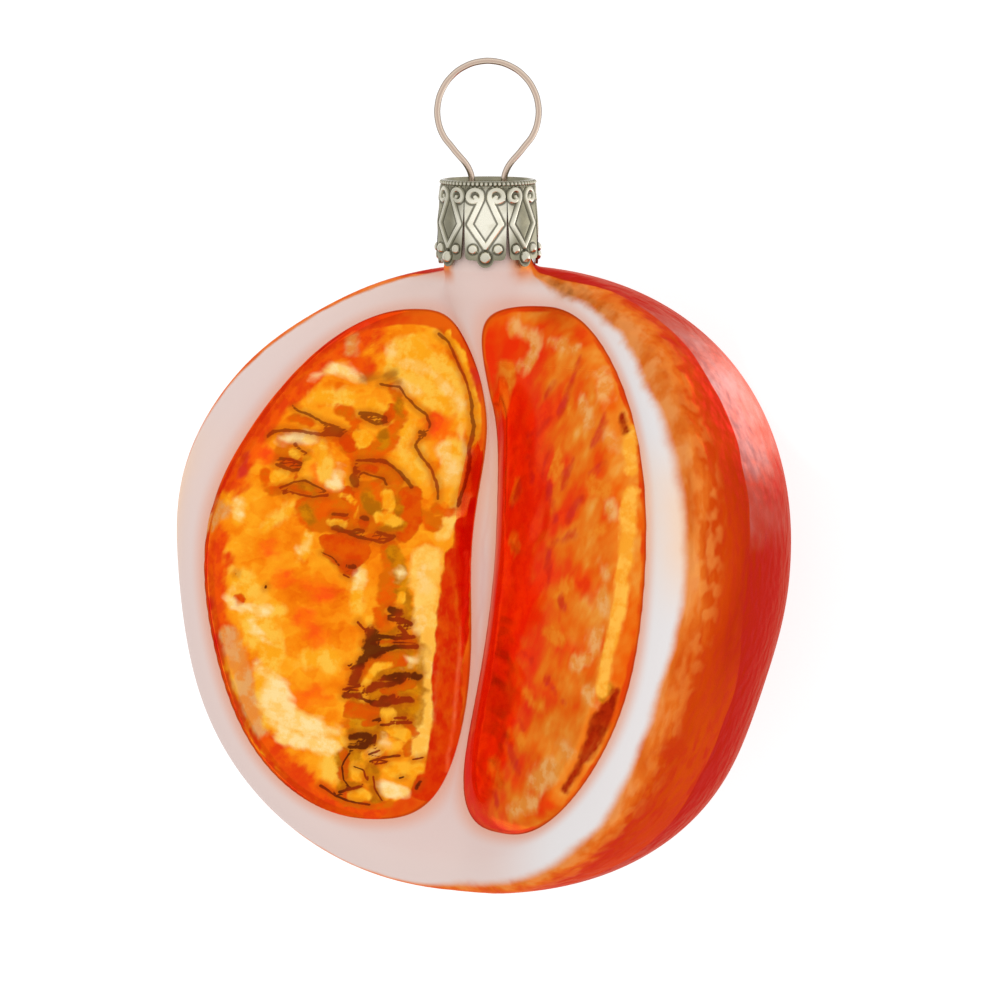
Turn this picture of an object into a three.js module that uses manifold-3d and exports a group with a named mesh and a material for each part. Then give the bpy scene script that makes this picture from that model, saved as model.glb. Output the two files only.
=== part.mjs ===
// A mould-blown glass tree ornament in the shape of a cut orange. It lies on the back of its
// rind with the cut faces up: X is to the right, Y runs along the stem to the cap and the
// hanger, and Z is up out of the cut. All sizes are in millimetres, all angles in degrees.
import * as THREE from "three";
import { mergeVertices } from "three/addons/utils/BufferGeometryUtils.js";
import Module from "manifold-3d";

// The fruit: a ball round the stem axis, a little flattened at both ends.
const FRUIT_RADIUS = 33.8;
const FRUIT_UP = 32.8; // from the widest ring up to the shoulder
const FRUIT_DOWN = 36.9; // from the widest ring down to the blossom end
const SHOULDER_POWER = 2.3; // 2 is an ellipse, more is squarer
const BLOSSOM_POWER = 2.25;
const FLAT_DEPTH = 0.75; // what the resting spot takes off the back

// The cut: two half-faces that meet in a valley along the stem, their rim rounded.
const CUT_FOLD = 24.5; // each half-face rises this much from the valley to the rim
const CUT_LEAN = 10; // and the whole cut comes forward this much towards the blossom end
const CUT_PIVOT = 8.5; // height on the stem where the valley crosses the axis
const VALLEY_ROUND = 2;
const SADDLE_RISE = 4; // the valley rises to meet the neck
const SADDLE_WIDTH = 8;
const SADDLE_START = 13;
const RIM_ROUND = 3.7;

// The two pulp segments: ovals bowed round the stem that stand proud of the pith.
const SEGMENTS = [
  { x: -14.6, bow: 6.05, waver: 0.4, halfWidth: 13.7, y: -0.4, halfHeight: 28.1, power: 2.35 },
  { x: 14.35, bow: -7.75, waver: 0.1, halfWidth: 12.4, y: -0.2, halfHeight: 28.8, power: 2.7 },
];
const WAVER_PITCH = 5.7; // how fast a segment's middle line wavers from its foot to its tip
const WAVER_CREST = 0.7;
const FLANK_WIDTH = 3.6;
const FLANK_HEIGHT = 1.7;
const CROWN_HEIGHT = 1.3; // what the pulp still rises beyond its flanks, as a low dome

// The neck: a glass tube that widens down into a cone of pith between the segments.
const NECK_RADIUS = 4.4;
const NECK_FLARE = 0.055; // the tube gains this much radius for each millimetre down
const NECK_BORE = 3.65;
const NECK_TOP = 41.2;
const NECK_FLOOR = 34;
const NECK_SIDES = 28;
const CONE_TOP = 32.5;
const CONE_SLOPE = 0.42; // the cone loses this much radius for each millimetre down
const CONE_BLEND = 6;
const SHOULDER_BLEND = 1.5;

// The blank that the fruit is shaped from: rings along the stem, columns round it.
const RINGS = 44;
const NECK_RINGS = [33, 33.25, 33.8, NECK_TOP];
const COLUMNS = 80;
const CORE_DEPTH = 13; // the rays that find the skin start this far behind the stem axis
const CORE_REACH = 35.5;
const RAY_LENGTH = 48;
const HALVINGS = 24;

// The crown cap: a pressed metal cup cut into seven tabs.
const SHEET = 0.35;
const TABS = 7;
const CAP_TURN = 26.6; // the middle of the first tab, round the stem from the top of the cut
const CAP_TOP = 42.4;
const CAP_HEM = 34; // lower edge of the tabs beside their tongues
const CAP_RADIUS = 5.13;
const CAP_FLARE = 0.47; // the hem stands out this much further
const CAP_COLUMNS = 28;
const ROLL = 0.35; // radius of the rolled rim
const DISC_DROP = 0.45; // the top disc lies this far below the rim
const SLOT_TOP = 40.4;
const SLOT_WIDTHS = [0.15, 0.6]; // at the top and at the hem
const TONGUE_RADIUS = 0.95;
const TONGUE_HEIGHT = 34.35;
const TONGUE_SIDES = 12;
const BEADS = [
  { across: 0, height: 34.7, radius: 0.62 },
  { across: -1.36, height: 35.55, radius: 0.52 },
  { across: 1.36, height: 35.55, radius: 0.52 },
];
const BEAD_DEPTH = 0.38; // half a bead's thickness through the sheet
const SCROLL_RADIUS = 0.2;
// One scroll line, across and up its tab: half of a lozenge that ends in a curl at the top.
const SCROLL = [
  [0.1, 35.75],
  [1.65, 38.2],
  [0.45, 40.3],
  [0.75, 41.2],
  [1.45, 41.15],
  [1.3, 40.5],
];
const SCROLL_STEPS = 7;

// The hanger: one wire bent to a round loop, its two legs sprung inside the neck.
const WIRE_RADIUS = 0.35;
const LEG_ACROSS = 1.9; // each leg from the stem axis, where it passes the cap
const LEG_SPRUNG = 2.8; // and at its lower end
const LEG_END = 36;
const LEG_HOLE = 0.75;
const LOOP_RADIUS = 5.6;
const LOOP_HEIGHT = 49.85; // centre of the loop on the stem axis
const LOOP_GAP = 44; // half the angle that the loop leaves open for its legs
const LOOP_POINTS = 16;
const HANGER_TURN = 29.5; // the loop is turned round the stem by this much
const WIRE_STEPS = 66;

const wasm = await Module();
wasm.setup();
const { degToRad, clamp, lerp } = THREE.MathUtils;

// The closed solid of a three.js geometry, for cutting and joining.
function solid(geometry) {
  const bare = geometry.clone();
  bare.deleteAttribute("normal");
  bare.deleteAttribute("uv");
  const merged = mergeVertices(bare, 1e-4);
  const vertProperties = new Float32Array(merged.attributes.position.array);
  const triVerts = new Uint32Array(merged.index.array);
  return new wasm.Manifold(new wasm.Mesh({ numProp: 3, vertProperties, triVerts }));
}

// The three.js mesh of a closed solid, with its own material.
function meshOf(name, body, finish) {
  const made = body.getMesh();
  const geometry = new THREE.BufferGeometry();
  geometry.setAttribute("position", new THREE.BufferAttribute(made.vertProperties, 3));
  geometry.setIndex(new THREE.BufferAttribute(made.triVerts, 1));
  geometry.computeVertexNormals();
  const mesh = new THREE.Mesh(geometry, new THREE.MeshStandardMaterial(finish));
  mesh.name = name;
  return mesh;
}

// The larger of two distances, its corner rounded: two surfaces meet in a soft rim.
function roundedMax(a, b, radius) {
  const corner = Math.hypot(Math.max(a + radius, 0), Math.max(b + radius, 0));
  return Math.min(Math.max(a, b), -radius) + corner;
}

// The smaller of two distances, blended: two forms flow into each other.
function softMin(a, b, blend) {
  const share = clamp(0.5 + (0.5 * (b - a)) / blend, 0, 1);
  return lerp(b, a, share) - blend * share * (1 - share);
}

function hump(value, centre, width) {
  return Math.exp(-(((value - centre) / width) ** 2));
}

// The ball is a little fuller on its left cheek and slimmer elsewhere below the middle.
function rindSwell(x, y, z) {
  const cheek = hump(Math.atan2(x, z), -1.15, 0.65);
  const fuller = 0.058 * hump(y, 9, 15) + 0.022 * hump(y, -18, 14) - 0.06 * hump(y, 30, 5);
  const slimmer = 0.045 * hump(y, -16, 11);
  return 1 + cheek * fuller - (1 - cheek) * slimmer;
}

function rindDistance(x, y, z) {
  const out = Math.hypot(x, z) / rindSwell(x, y, z) / FRUIT_RADIUS;
  const up = Math.abs(y) / (y > 0 ? FRUIT_UP : FRUIT_DOWN);
  const power = y > 0 ? SHOULDER_POWER : BLOSSOM_POWER;
  return ((out ** power + up ** power) ** (1 / power) - 1) * FRUIT_RADIUS;
}

// Height of the bare cut above the stem axis.
function cutHeight(x, y) {
  const fold = (Math.hypot(x, VALLEY_ROUND) - VALLEY_ROUND) * Math.tan(degToRad(CUT_FOLD));
  const lean = (y - CUT_PIVOT) * Math.tan(degToRad(CUT_LEAN));
  const climb = Math.max((y - SADDLE_START) / (FRUIT_UP - SADDLE_START), 0) ** 2;
  return fold - lean + SADDLE_RISE * hump(x, 0, SADDLE_WIDTH) * climb;
}

// Where a point lies on a segment: across its bowed middle line and up it, from -1 to 1.
function onSegment(segment, x, y) {
  const up = (y - segment.y) / segment.halfHeight;
  const waver = segment.waver * Math.cos(WAVER_PITCH * (up - WAVER_CREST));
  const middle = segment.x + segment.bow * up ** 2 + waver;
  return [(x - middle) / segment.halfWidth, up];
}

// How far a point of the cut lies inside a segment's outline.
function segmentDepth(segment, x, y) {
  const { halfWidth, halfHeight, power } = segment;
  const [across, up] = onSegment(segment, x, y).map(Math.abs);
  const reach = Math.max((across ** power + up ** power) ** (1 / power), 1e-6);
  const slopeAcross = (across / reach) ** (power - 1) / halfWidth;
  const slopeUp = (up / reach) ** (power - 1) / halfHeight;
  return (1 - reach) / Math.max(Math.hypot(slopeAcross, slopeUp), 1e-3);
}

// How much the pulp stands proud of the pith.
function pulpHeight(x, y) {
  const depth = Math.max(...SEGMENTS.map((segment) => segmentDepth(segment, x, y)));
  const flank = 1 - (1 - clamp(depth / FLANK_WIDTH, 0, 1)) ** 2;
  const domes = SEGMENTS.map((segment) => {
    const [across, up] = onSegment(segment, x, y);
    return Math.max(1 - across ** 2 - up ** 2, 0);
  });
  return FLANK_HEIGHT * flank + CROWN_HEIGHT * Math.max(...domes);
}

// Radius of the glass round the stem axis: the neck's tube, and the cone below it.
function stemRadius(y) {
  const tube = NECK_RADIUS + NECK_FLARE * (NECK_TOP - Math.max(y, CONE_TOP));
  return tube - CONE_SLOPE * Math.max(CONE_TOP - y, 0);
}

// Negative inside the glass, positive outside.
function glassDistance(x, y, z) {
  const steepness = Math.hypot(1, Math.tan(degToRad(CUT_FOLD)), Math.tan(degToRad(CUT_LEAN)));
  const cut = (z - cutHeight(x, y)) / steepness - pulpHeight(x, y);
  const coned = softMin(cut, Math.hypot(x, Math.max(z, 0)) - stemRadius(y), CONE_BLEND);
  const fruit = roundedMax(rindDistance(x, y, z), coned, RIM_ROUND);
  return softMin(fruit, Math.hypot(x, z) - stemRadius(y), SHOULDER_BLEND);
}

// The point of the skin at one height on the stem, in one direction round it.
function skinPoint(y, angle) {
  const core = -CORE_DEPTH * (1 - Math.min(Math.abs(y) / (y > 0 ? CORE_REACH : FRUIT_DOWN), 1) ** 4);
  const at = (ray) => [ray * Math.sin(angle), y, core + ray * Math.cos(angle)];
  let inside = 0;
  let outside = RAY_LENGTH;
  for (let i = 0; i < HALVINGS; i++) {
    const middle = (inside + outside) / 2;
    if (glassDistance(...at(middle)) > 0) outside = middle;
    else inside = middle;
  }
  return at(inside);
}

// Directions of the columns round the stem, closer together at the two rims of the cut.
function columnAngles() {
  const fine = 3600;
  const angles = [-180];
  const steps = Array.from({ length: fine }, (_, i) => -180 + ((i + 0.5) * 360) / fine);
  const weights = steps.map((angle) => 1 + 1.2 * hump(Math.abs(angle), 48, 16));
  const share = weights.reduce((sum, weight) => sum + weight, 0) / COLUMNS;
  let passed = 0;
  steps.forEach((angle, i) => {
    passed += weights[i];
    if (passed > angles.length * share && angles.length < COLUMNS) angles.push(angle);
  });
  return angles.map(degToRad);
}

// The glass: a turned blank whose every point is moved out along its ray to the skin.
function glassBody() {
  const middle = (FRUIT_UP - FRUIT_DOWN) / 2;
  const half = (FRUIT_UP + FRUIT_DOWN) / 2;
  const heights = [];
  for (let i = 1; i < RINGS; i++) heights.push(middle - half * Math.cos((Math.PI * i) / RINGS));
  heights.push(...NECK_RINGS);
  const profile = [new THREE.Vector2(0, -FRUIT_DOWN)];
  for (const y of heights) profile.push(new THREE.Vector2(1, y));
  profile.push(new THREE.Vector2(0, NECK_TOP));
  const blank = new THREE.LatheGeometry(profile, COLUMNS);
  const angles = columnAngles();
  const places = blank.attributes.position;
  for (let column = 0; column <= COLUMNS; column++) {
    heights.forEach((y, ring) => {
      const point = skinPoint(y, angles[column % COLUMNS]);
      places.setXYZ(column * profile.length + ring + 1, ...point);
    });
  }
  const boreLength = 2 * (NECK_TOP - NECK_FLOOR);
  const bore = new THREE.CylinderGeometry(NECK_BORE, NECK_BORE, boreLength, NECK_SIDES);
  bore.translate(0, NECK_TOP, 0);
  const underside = new THREE.BoxGeometry(FRUIT_RADIUS, FRUIT_RADIUS, FRUIT_RADIUS);
  underside.translate(0, 0, FLAT_DEPTH - 1.5 * FRUIT_RADIUS);
  return solid(blank).subtract(solid(bore)).subtract(solid(underside));
}

// Outer radius of the cap's wall at a height.
function capRadius(height) {
  return CAP_RADIUS + (CAP_FLARE * (CAP_TOP - height)) / (CAP_TOP - CAP_HEM);
}

// A place on the cap's wall: across and up a tab whose middle is turned to an angle.
function onCap(across, height, turn, lift = 0) {
  const radius = capRadius(height) + lift;
  const angle = turn + across / radius;
  return new THREE.Vector3(radius * Math.sin(angle), height, radius * Math.cos(angle));
}

function capShell() {
  const discTop = CAP_TOP - DISC_DROP;
  const profile = [
    [0, discTop - SHEET],
    [CAP_RADIUS - SHEET, discTop - SHEET],
    [capRadius(CAP_HEM) - SHEET, CAP_HEM],
    [capRadius(CAP_HEM), CAP_HEM],
    [capRadius(CAP_TOP - 2.6 * ROLL), CAP_TOP - 2.6 * ROLL],
    [CAP_RADIUS + 0.5 * ROLL, CAP_TOP - 1.5 * ROLL],
    [CAP_RADIUS, CAP_TOP],
    [CAP_RADIUS - 1.2 * ROLL, CAP_TOP],
    [CAP_RADIUS - 1.9 * ROLL, discTop],
    [0, discTop],
  ];
  const outline = profile.map((point) => new THREE.Vector2(...point));
  return solid(new THREE.LatheGeometry(outline, CAP_COLUMNS));
}

// The wedge that parts two tabs, narrow at the top and open at the hem.
function slot(turn) {
  const [top, hem] = SLOT_WIDTHS.map((width) => width / 2);
  const outline = new THREE.Shape();
  outline.moveTo(-top, SLOT_TOP);
  outline.lineTo(-hem, CAP_HEM - 1);
  outline.lineTo(hem, CAP_HEM - 1);
  outline.lineTo(top, SLOT_TOP);
  const wedge = new THREE.ExtrudeGeometry(outline, { depth: 2 * CAP_RADIUS, bevelEnabled: false });
  wedge.translate(0, 0, CAP_RADIUS / 2);
  return solid(wedge.rotateY(turn));
}

function tongue(turn) {
  const disc = new THREE.CylinderGeometry(TONGUE_RADIUS, TONGUE_RADIUS, SHEET, TONGUE_SIDES);
  disc.rotateX(Math.PI / 2);
  disc.translate(0, TONGUE_HEIGHT, capRadius(TONGUE_HEIGHT) - SHEET / 2);
  return solid(disc.rotateY(turn));
}

function bead({ across, height, radius }, turn) {
  const ball = new THREE.SphereGeometry(radius, 6, 4);
  ball.scale(1, 1, BEAD_DEPTH / radius);
  ball.rotateY(turn + across / capRadius(height));
  const place = onCap(across, height, turn, BEAD_DEPTH - SHEET);
  return solid(ball.translate(place.x, place.y, place.z));
}

function scroll(side, turn) {
  const points = SCROLL.map(([across, height]) => onCap(side * across, height, turn, 0.04));
  const section = new THREE.Shape().absarc(0, 0, SCROLL_RADIUS, 0, 2 * Math.PI);
  const line = new THREE.ExtrudeGeometry(section, {
    extrudePath: new THREE.CatmullRomCurve3(points),
    steps: SCROLL_STEPS,
    curveSegments: 2,
    bevelEnabled: false,
  });
  return solid(line);
}

// The cap: the cup, slotted, then dressed with a tongue, beads and scrolls on each tab.
function crownCap() {
  let cap = capShell();
  for (const side of [-1, 1]) {
    const hole = new THREE.CylinderGeometry(LEG_HOLE, LEG_HOLE, 8 * SHEET, 12);
    hole.translate(side * LEG_ACROSS, CAP_TOP - DISC_DROP, 0);
    cap = cap.subtract(solid(hole.rotateY(degToRad(HANGER_TURN))));
  }
  for (let tab = 0; tab < TABS; tab++) {
    const turn = degToRad(CAP_TURN + (tab * 360) / TABS);
    cap = cap.subtract(slot(turn + Math.PI / TABS)).add(tongue(turn));
    for (const each of BEADS) cap = cap.add(bead(each, turn));
    for (const side of [-1, 1]) cap = cap.add(scroll(side, turn));
  }
  return cap;
}

function hangerWire() {
  const leg = [
    [LEG_SPRUNG, LEG_END],
    [lerp(LEG_SPRUNG, LEG_ACROSS, 0.6), lerp(LEG_END, CAP_TOP, 0.5)],
    [LEG_ACROSS, CAP_TOP - 1],
    [LEG_ACROSS, CAP_TOP + 0.6],
  ];
  const points = leg.map(([across, height]) => new THREE.Vector3(-across, height, 0));
  for (let i = 0; i <= LOOP_POINTS; i++) {
    const angle = degToRad(lerp(LOOP_GAP, 360 - LOOP_GAP, i / LOOP_POINTS));
    const across = -LOOP_RADIUS * Math.sin(angle);
    points.push(new THREE.Vector3(across, LOOP_HEIGHT - LOOP_RADIUS * Math.cos(angle), 0));
  }
  for (const [across, height] of leg.reverse()) points.push(new THREE.Vector3(across, height, 0));
  const wire = new THREE.ExtrudeGeometry(
    new THREE.Shape().absarc(0, 0, WIRE_RADIUS, 0, 2 * Math.PI),
    {
      extrudePath: new THREE.CatmullRomCurve3(points),
      steps: WIRE_STEPS,
      curveSegments: 4,
      bevelEnabled: false,
    },
  );
  return solid(wire.rotateY(degToRad(HANGER_TURN)));
}

const ornament = new THREE.Group();
ornament.add(
  meshOf("glass_body", glassBody(), { color: 0xe8701c, roughness: 0.3, metalness: 0.2 }),
  meshOf("crown_cap", crownCap(), { color: 0xc9c4ab, roughness: 0.3, metalness: 1 }),
  meshOf("hanger_wire", hangerWire(), { color: 0xb9ab98, roughness: 0.25, metalness: 1 }),
);
ornament.position.z = FRUIT_RADIUS - FLAT_DEPTH;

export default ornament;
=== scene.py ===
"""A mould-blown glass tree ornament in the shape of a cut orange, dressed round its solids."""

import math

import bmesh
import bpy
import numpy as np
from mathutils import Matrix, Vector


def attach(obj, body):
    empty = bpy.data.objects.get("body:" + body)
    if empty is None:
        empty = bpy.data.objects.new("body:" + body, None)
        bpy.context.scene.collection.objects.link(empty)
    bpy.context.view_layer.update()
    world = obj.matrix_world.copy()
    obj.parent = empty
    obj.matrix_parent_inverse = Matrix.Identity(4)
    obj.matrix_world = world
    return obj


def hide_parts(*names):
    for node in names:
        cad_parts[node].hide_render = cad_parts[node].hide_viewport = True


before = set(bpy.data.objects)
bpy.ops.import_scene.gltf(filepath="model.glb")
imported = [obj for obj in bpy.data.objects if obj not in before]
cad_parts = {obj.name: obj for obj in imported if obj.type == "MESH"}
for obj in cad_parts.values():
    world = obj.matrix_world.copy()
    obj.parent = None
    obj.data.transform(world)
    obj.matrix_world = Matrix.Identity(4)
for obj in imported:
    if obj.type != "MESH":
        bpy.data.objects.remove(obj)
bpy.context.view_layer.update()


# ---------------------------------------------------------------- camera
# A long lens on a stand, level with the fruit's widest ring. It looks a little from the
# right of the cut and from the cap's side, so the left half-face is seen nearly square on.
# Lengths are in mm and turned to metres once. The stem axis runs along +Y, this far up.
MM = 0.001
AXIS_HEIGHT = 33.05
CAMERA_TURN = math.radians(29.5)
CAMERA_RISE = math.radians(6)
CAMERA_DISTANCE = 800
CAMERA_LENS = 259
SENSOR_WIDTH = 36
CLIP_METRES = (0.01, 10)
AIM_RIGHT = 1.33
AIM_UP = 6.67


def in_scene(name, data):
    """A new object of the scene."""
    made = bpy.data.objects.new(name, data)
    bpy.context.scene.collection.objects.link(made)
    return made


to_camera = Vector((
    math.sin(CAMERA_TURN) * math.cos(CAMERA_RISE),
    math.sin(CAMERA_RISE),
    math.cos(CAMERA_TURN) * math.cos(CAMERA_RISE),
))
camera_right = Vector((0, 1, 0)).cross(to_camera).normalized()
camera_up = to_camera.cross(camera_right)
aim = Vector((0, 0, AXIS_HEIGHT)) + camera_right * AIM_RIGHT + camera_up * AIM_UP
camera = in_scene("camera", bpy.data.cameras.new("camera"))
camera.data.lens = CAMERA_LENS
camera.data.sensor_width = SENSOR_WIDTH
camera.data.clip_start, camera.data.clip_end = CLIP_METRES
camera.location = (aim + to_camera * CAMERA_DISTANCE) * MM
camera.rotation_euler = Matrix((camera_right, camera_up, to_camera)).transposed().to_euler()
bpy.context.scene.camera = camera


# ---------------------------------------------------------------- glass fruit
# One bubble of glass blown into a two-part mould, silvered inside and lacquered outside.
# The mould gives the valley-shaped cut with its two raised pulp segments; the neck that the
# bubble was blown through stands up at the top. All of it is one skin.
FRUIT_RADIUS = 33.8
FRUIT_UP = 32.8
FRUIT_DOWN = 36.9
SHOULDER_POWER = 2.3
BLOSSOM_POWER = 2.25

CUT_FOLD = math.tan(math.radians(24.5))
CUT_LEAN = math.tan(math.radians(10))
CUT_PIVOT = 8.5
VALLEY_ROUND = 2
SADDLE_RISE = 4
SADDLE_WIDTH = 8
SADDLE_START = 13
RIM_ROUND = 3.7

# each pulp segment: centre, bow and waver of its middle line, half width, centre height,
# half height and squareness
SEGMENTS = [
    (-14.6, 6.05, 0.4, 13.7, -0.4, 28.1, 2.35),
    (14.35, -7.75, 0.1, 12.4, -0.2, 28.8, 2.7),
]
WAVER_PITCH = 5.7
WAVER_CREST = 0.7
FLANK_WIDTH = 3.6
FLANK_WIDER = 1.3
FLANK_HEIGHT = 1.7
CROWN_HEIGHT = 1.3

NECK_RADIUS = 4.4
NECK_FLARE = 0.055
NECK_BORE = 3.65
NECK_TOP = 41.2
NECK_FLOOR = 34
CONE_TOP = 32.5
CONE_SLOPE = 0.42
CONE_BLEND = 6
SHOULDER_BLEND = 1.5

# the mesh, and the rays that find the skin from a core line inside the fruit
RINGS = 272
COLUMNS = 336
CORE_DEPTH = 13
CORE_REACH = 35.5
RAY_LENGTH = 48
HALVINGS = 26


def hump(value, centre, width):
    """A bell-shaped rise of 1."""
    return np.exp(-(((value - centre) / width) ** 2))


def smooth(value, low, high):
    """A soft step from 0 at low to 1 at high."""
    t = np.clip((value - low) / (high - low), 0, 1)
    return t * t * (3 - 2 * t)


def rounded_max(a, b, radius):
    """What lies in both of two shapes, with the edge between them rounded."""
    corner = np.hypot(np.maximum(a + radius, 0), np.maximum(b + radius, 0))
    return np.minimum(np.maximum(a, b), -radius) + corner


def soft_min(a, b, blend):
    """What lies in either of two shapes, with the corner between them filled."""
    share = np.clip(0.5 + 0.5 * (b - a) / blend, 0, 1)
    return b * (1 - share) + a * share - blend * share * (1 - share)


# by how much the left cheek is fuller than a round one, at what height and over what width,
# and by how much the rest is slacker
CHEEK = (-1.15, 0.65)
CHEEK_FULLER = ((0.058, 9, 15), (0.022, -18, 14), (-0.06, 30, 5))
SLACKER = (0.045, -16, 11)


def rind_swell(x, y, z):
    cheek = hump(np.arctan2(x, z), *CHEEK)
    fuller = sum(share * hump(y, height, width) for share, height, width in CHEEK_FULLER)
    return 1 + cheek * fuller - (1 - cheek) * SLACKER[0] * hump(y, *SLACKER[1:])


def rind_distance(x, y, z):
    """How far a point lies outside the round of the rind."""
    out = np.hypot(x, z) / rind_swell(x, y, z) / FRUIT_RADIUS
    up = np.abs(y) / np.where(y > 0, FRUIT_UP, FRUIT_DOWN)
    power = np.where(y > 0, SHOULDER_POWER, BLOSSOM_POWER)
    return ((out**power + up**power) ** (1 / power) - 1) * FRUIT_RADIUS


def cut_height(x, y):
    """The valley of the cut, which leans back and rises in a saddle to the neck."""
    fold = (np.hypot(x, VALLEY_ROUND) - VALLEY_ROUND) * CUT_FOLD
    climb = np.maximum((y - SADDLE_START) / (FRUIT_UP - SADDLE_START), 0) ** 2
    return fold - (y - CUT_PIVOT) * CUT_LEAN + SADDLE_RISE * hump(x, 0, SADDLE_WIDTH) * climb


def on_segment(segment, x, y):
    """Where a point lies across a segment's bowed middle line and up it, from -1 to 1."""
    centre, bow, waver, half_width, height, half_height, _ = segment
    up = (y - height) / half_height
    middle = centre + bow * up**2 + waver * np.cos(WAVER_PITCH * (up - WAVER_CREST))
    return (x - middle) / half_width, up


def segment_depth(segment, x, y):
    """How far a point lies inside a segment's outline."""
    *_, half_width, _, half_height, power = segment
    across, up = np.abs(on_segment(segment, x, y))
    reach = np.maximum((across**power + up**power) ** (1 / power), 1e-6)
    slope_across = (across / reach) ** (power - 1) / half_width
    slope_up = (up / reach) ** (power - 1) / half_height
    return (1 - reach) / np.maximum(np.hypot(slope_across, slope_up), 1e-3)


def pulp_depth(x, y):
    return np.maximum(*[segment_depth(segment, x, y) for segment in SEGMENTS])


# The mould's pulp relief, softened by the glass: juice sacs that fan out from the membrane
# across the lower half, rounder lumps above, and slow swells of the blown skin.
FAN_ORIGIN = 26
FAN_SPREAD = 42
SAC_LENGTH = 6.0
SAC_WIDTH = 1.9
SAC_HEIGHT = 0.05
SAC_BEND = 1.5
LUMP_WIDTH = 2.7
LUMP_HEIGHT = 0.08
SWELL_WIDTH = 7.5
SWELL_HEIGHT = 0.17


def soft_noise(u, v, seed):
    """Smooth noise from about -1 to 1, with one swell in each unit cell."""
    iu, iv = np.floor(u), np.floor(v)
    fu, fv = u - iu, v - iv
    total = 0
    for du in (0, 1):
        for dv in (0, 1):
            turn = np.sin((iu + du) * 127.1 + (iv + dv) * 311.7 + seed * 74.7) * 43758.5453
            turn = (turn - np.floor(turn)) * math.tau
            pull = np.cos(turn) * (fu - du) + np.sin(turn) * (fv - dv)
            across, up = np.abs(1 - du - fu), np.abs(1 - dv - fv)
            ease_across = across**3 * (across * (6 * across - 15) + 10)
            ease_up = up**3 * (up * (6 * up - 15) + 10)
            total = total + pull * ease_across * ease_up
    return 1.5 * total


def pulp_relief(x, y):
    reach = np.hypot(np.abs(x) + FAN_ORIGIN, y + 1)
    fan = np.arctan2(y + 1, np.abs(x) + FAN_ORIGIN) * FAN_SPREAD
    other = np.where(x > 0, 40.0, 0.0)
    bend = SAC_BEND * soft_noise(x / 6, y / 6, 3)
    sacs = soft_noise(reach / SAC_LENGTH + other, (fan + bend) / SAC_WIDTH, 1)
    along, askew = x + 0.5 * y, y - 0.3 * x + bend
    lumps = soft_noise(along / LUMP_WIDTH / 1.5 + other, askew / LUMP_WIDTH, 5)
    swell = soft_noise(x / SWELL_WIDTH + 9, y / SWELL_WIDTH, 2)
    lower = smooth(y, 6, -4)
    worn = 1 - 0.85 * smooth(x, -14, -9) * smooth(y, 5, 11)
    upper = LUMP_HEIGHT * lumps * (1 - lower) * worn
    return SAC_HEIGHT * sacs * lower + upper + SWELL_HEIGHT * swell


def crown(segment, x, y):
    """The low dome of a segment's face, from 1 at its middle to 0 at its outline."""
    across, up = on_segment(segment, x, y)
    return np.maximum(1 - across**2 - up**2, 0)


def pulp_height(x, y):
    depth = pulp_depth(x, y)
    beside_membrane = smooth(x, -16, -6) * smooth(x, 0, -1) * smooth(y, 12, 0)
    flank_width = FLANK_WIDTH + FLANK_WIDER * beside_membrane
    flank = 1 - (1 - np.clip(depth / flank_width, 0, 1)) ** 2
    dome = np.maximum(*[crown(segment, x, y) for segment in SEGMENTS])
    return FLANK_HEIGHT * flank + CROWN_HEIGHT * dome + pulp_relief(x, y) * smooth(depth, 0.8, 4)


def stem_radius(y):
    tube = NECK_RADIUS + NECK_FLARE * (NECK_TOP - np.maximum(y, CONE_TOP))
    return tube - CONE_SLOPE * np.maximum(CONE_TOP - y, 0)


def glass_distance(x, y, z):
    """How far a point lies outside the glass: the rind, cut open, with the neck on it."""
    cut = (z - cut_height(x, y)) / math.hypot(1, CUT_FOLD, CUT_LEAN) - pulp_height(x, y)
    coned = soft_min(cut, np.hypot(x, np.maximum(z, 0)) - stem_radius(y), CONE_BLEND)
    fruit = rounded_max(rind_distance(x, y, z), coned, RIM_ROUND)
    return soft_min(fruit, np.hypot(x, z) - stem_radius(y), SHOULDER_BLEND)


def skin_points(y, angle):
    """The points of the skin at these heights, in these directions round the stem."""
    reach = np.minimum(np.abs(y) / np.where(y > 0, CORE_REACH, FRUIT_DOWN), 1)
    core = -CORE_DEPTH * (1 - reach**4)
    inside, outside = np.zeros_like(y), np.full_like(y, RAY_LENGTH)
    for _ in range(HALVINGS):
        ray = (inside + outside) / 2
        out = glass_distance(ray * np.sin(angle), y, core + ray * np.cos(angle)) > 0
        inside, outside = np.where(out, inside, ray), np.where(out, ray, outside)
    return np.stack([inside * np.sin(angle), y, core + inside * np.cos(angle)], -1)


# A turned blank: one edge chain from pole to pole, spun round the stem. Its rings lie
# closer together at both ends, and its columns where the cut has its relief.
SKIN, BORE = 1.0, 0.5
END_CROWDING = 0.3
NECK_RINGS = (32.9, 33.05, 33.2, 33.4, 33.7, 34.2, 35.5, 38, NECK_TOP)
WELD = 1e-5


def spun(outline, steps, closed=False):
    """An outline of (radius, height) places, turned once round the stem."""
    turned = bmesh.new()
    verts = [turned.verts.new((0, y, radius)) for radius, y in outline]
    nexts = verts[1:] + verts[:1] if closed else verts[1:]
    edges = [turned.edges.new(pair) for pair in zip(verts, nexts)]
    bmesh.ops.spin(
        turned, geom=verts + edges, axis=(0, 1, 0), cent=(0, 0, 0),
        angle=math.tau, steps=steps, use_merge=True,
    )
    bmesh.ops.remove_doubles(turned, verts=turned.verts, dist=WELD)
    return turned


def places(mesh, field="co"):
    """The places of a mesh's vertices, or their normals, as rows of an array."""
    numbers = np.empty(len(mesh.vertices) * 3)
    mesh.vertices.foreach_get(field, numbers)
    return numbers.reshape(-1, 3)


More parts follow.
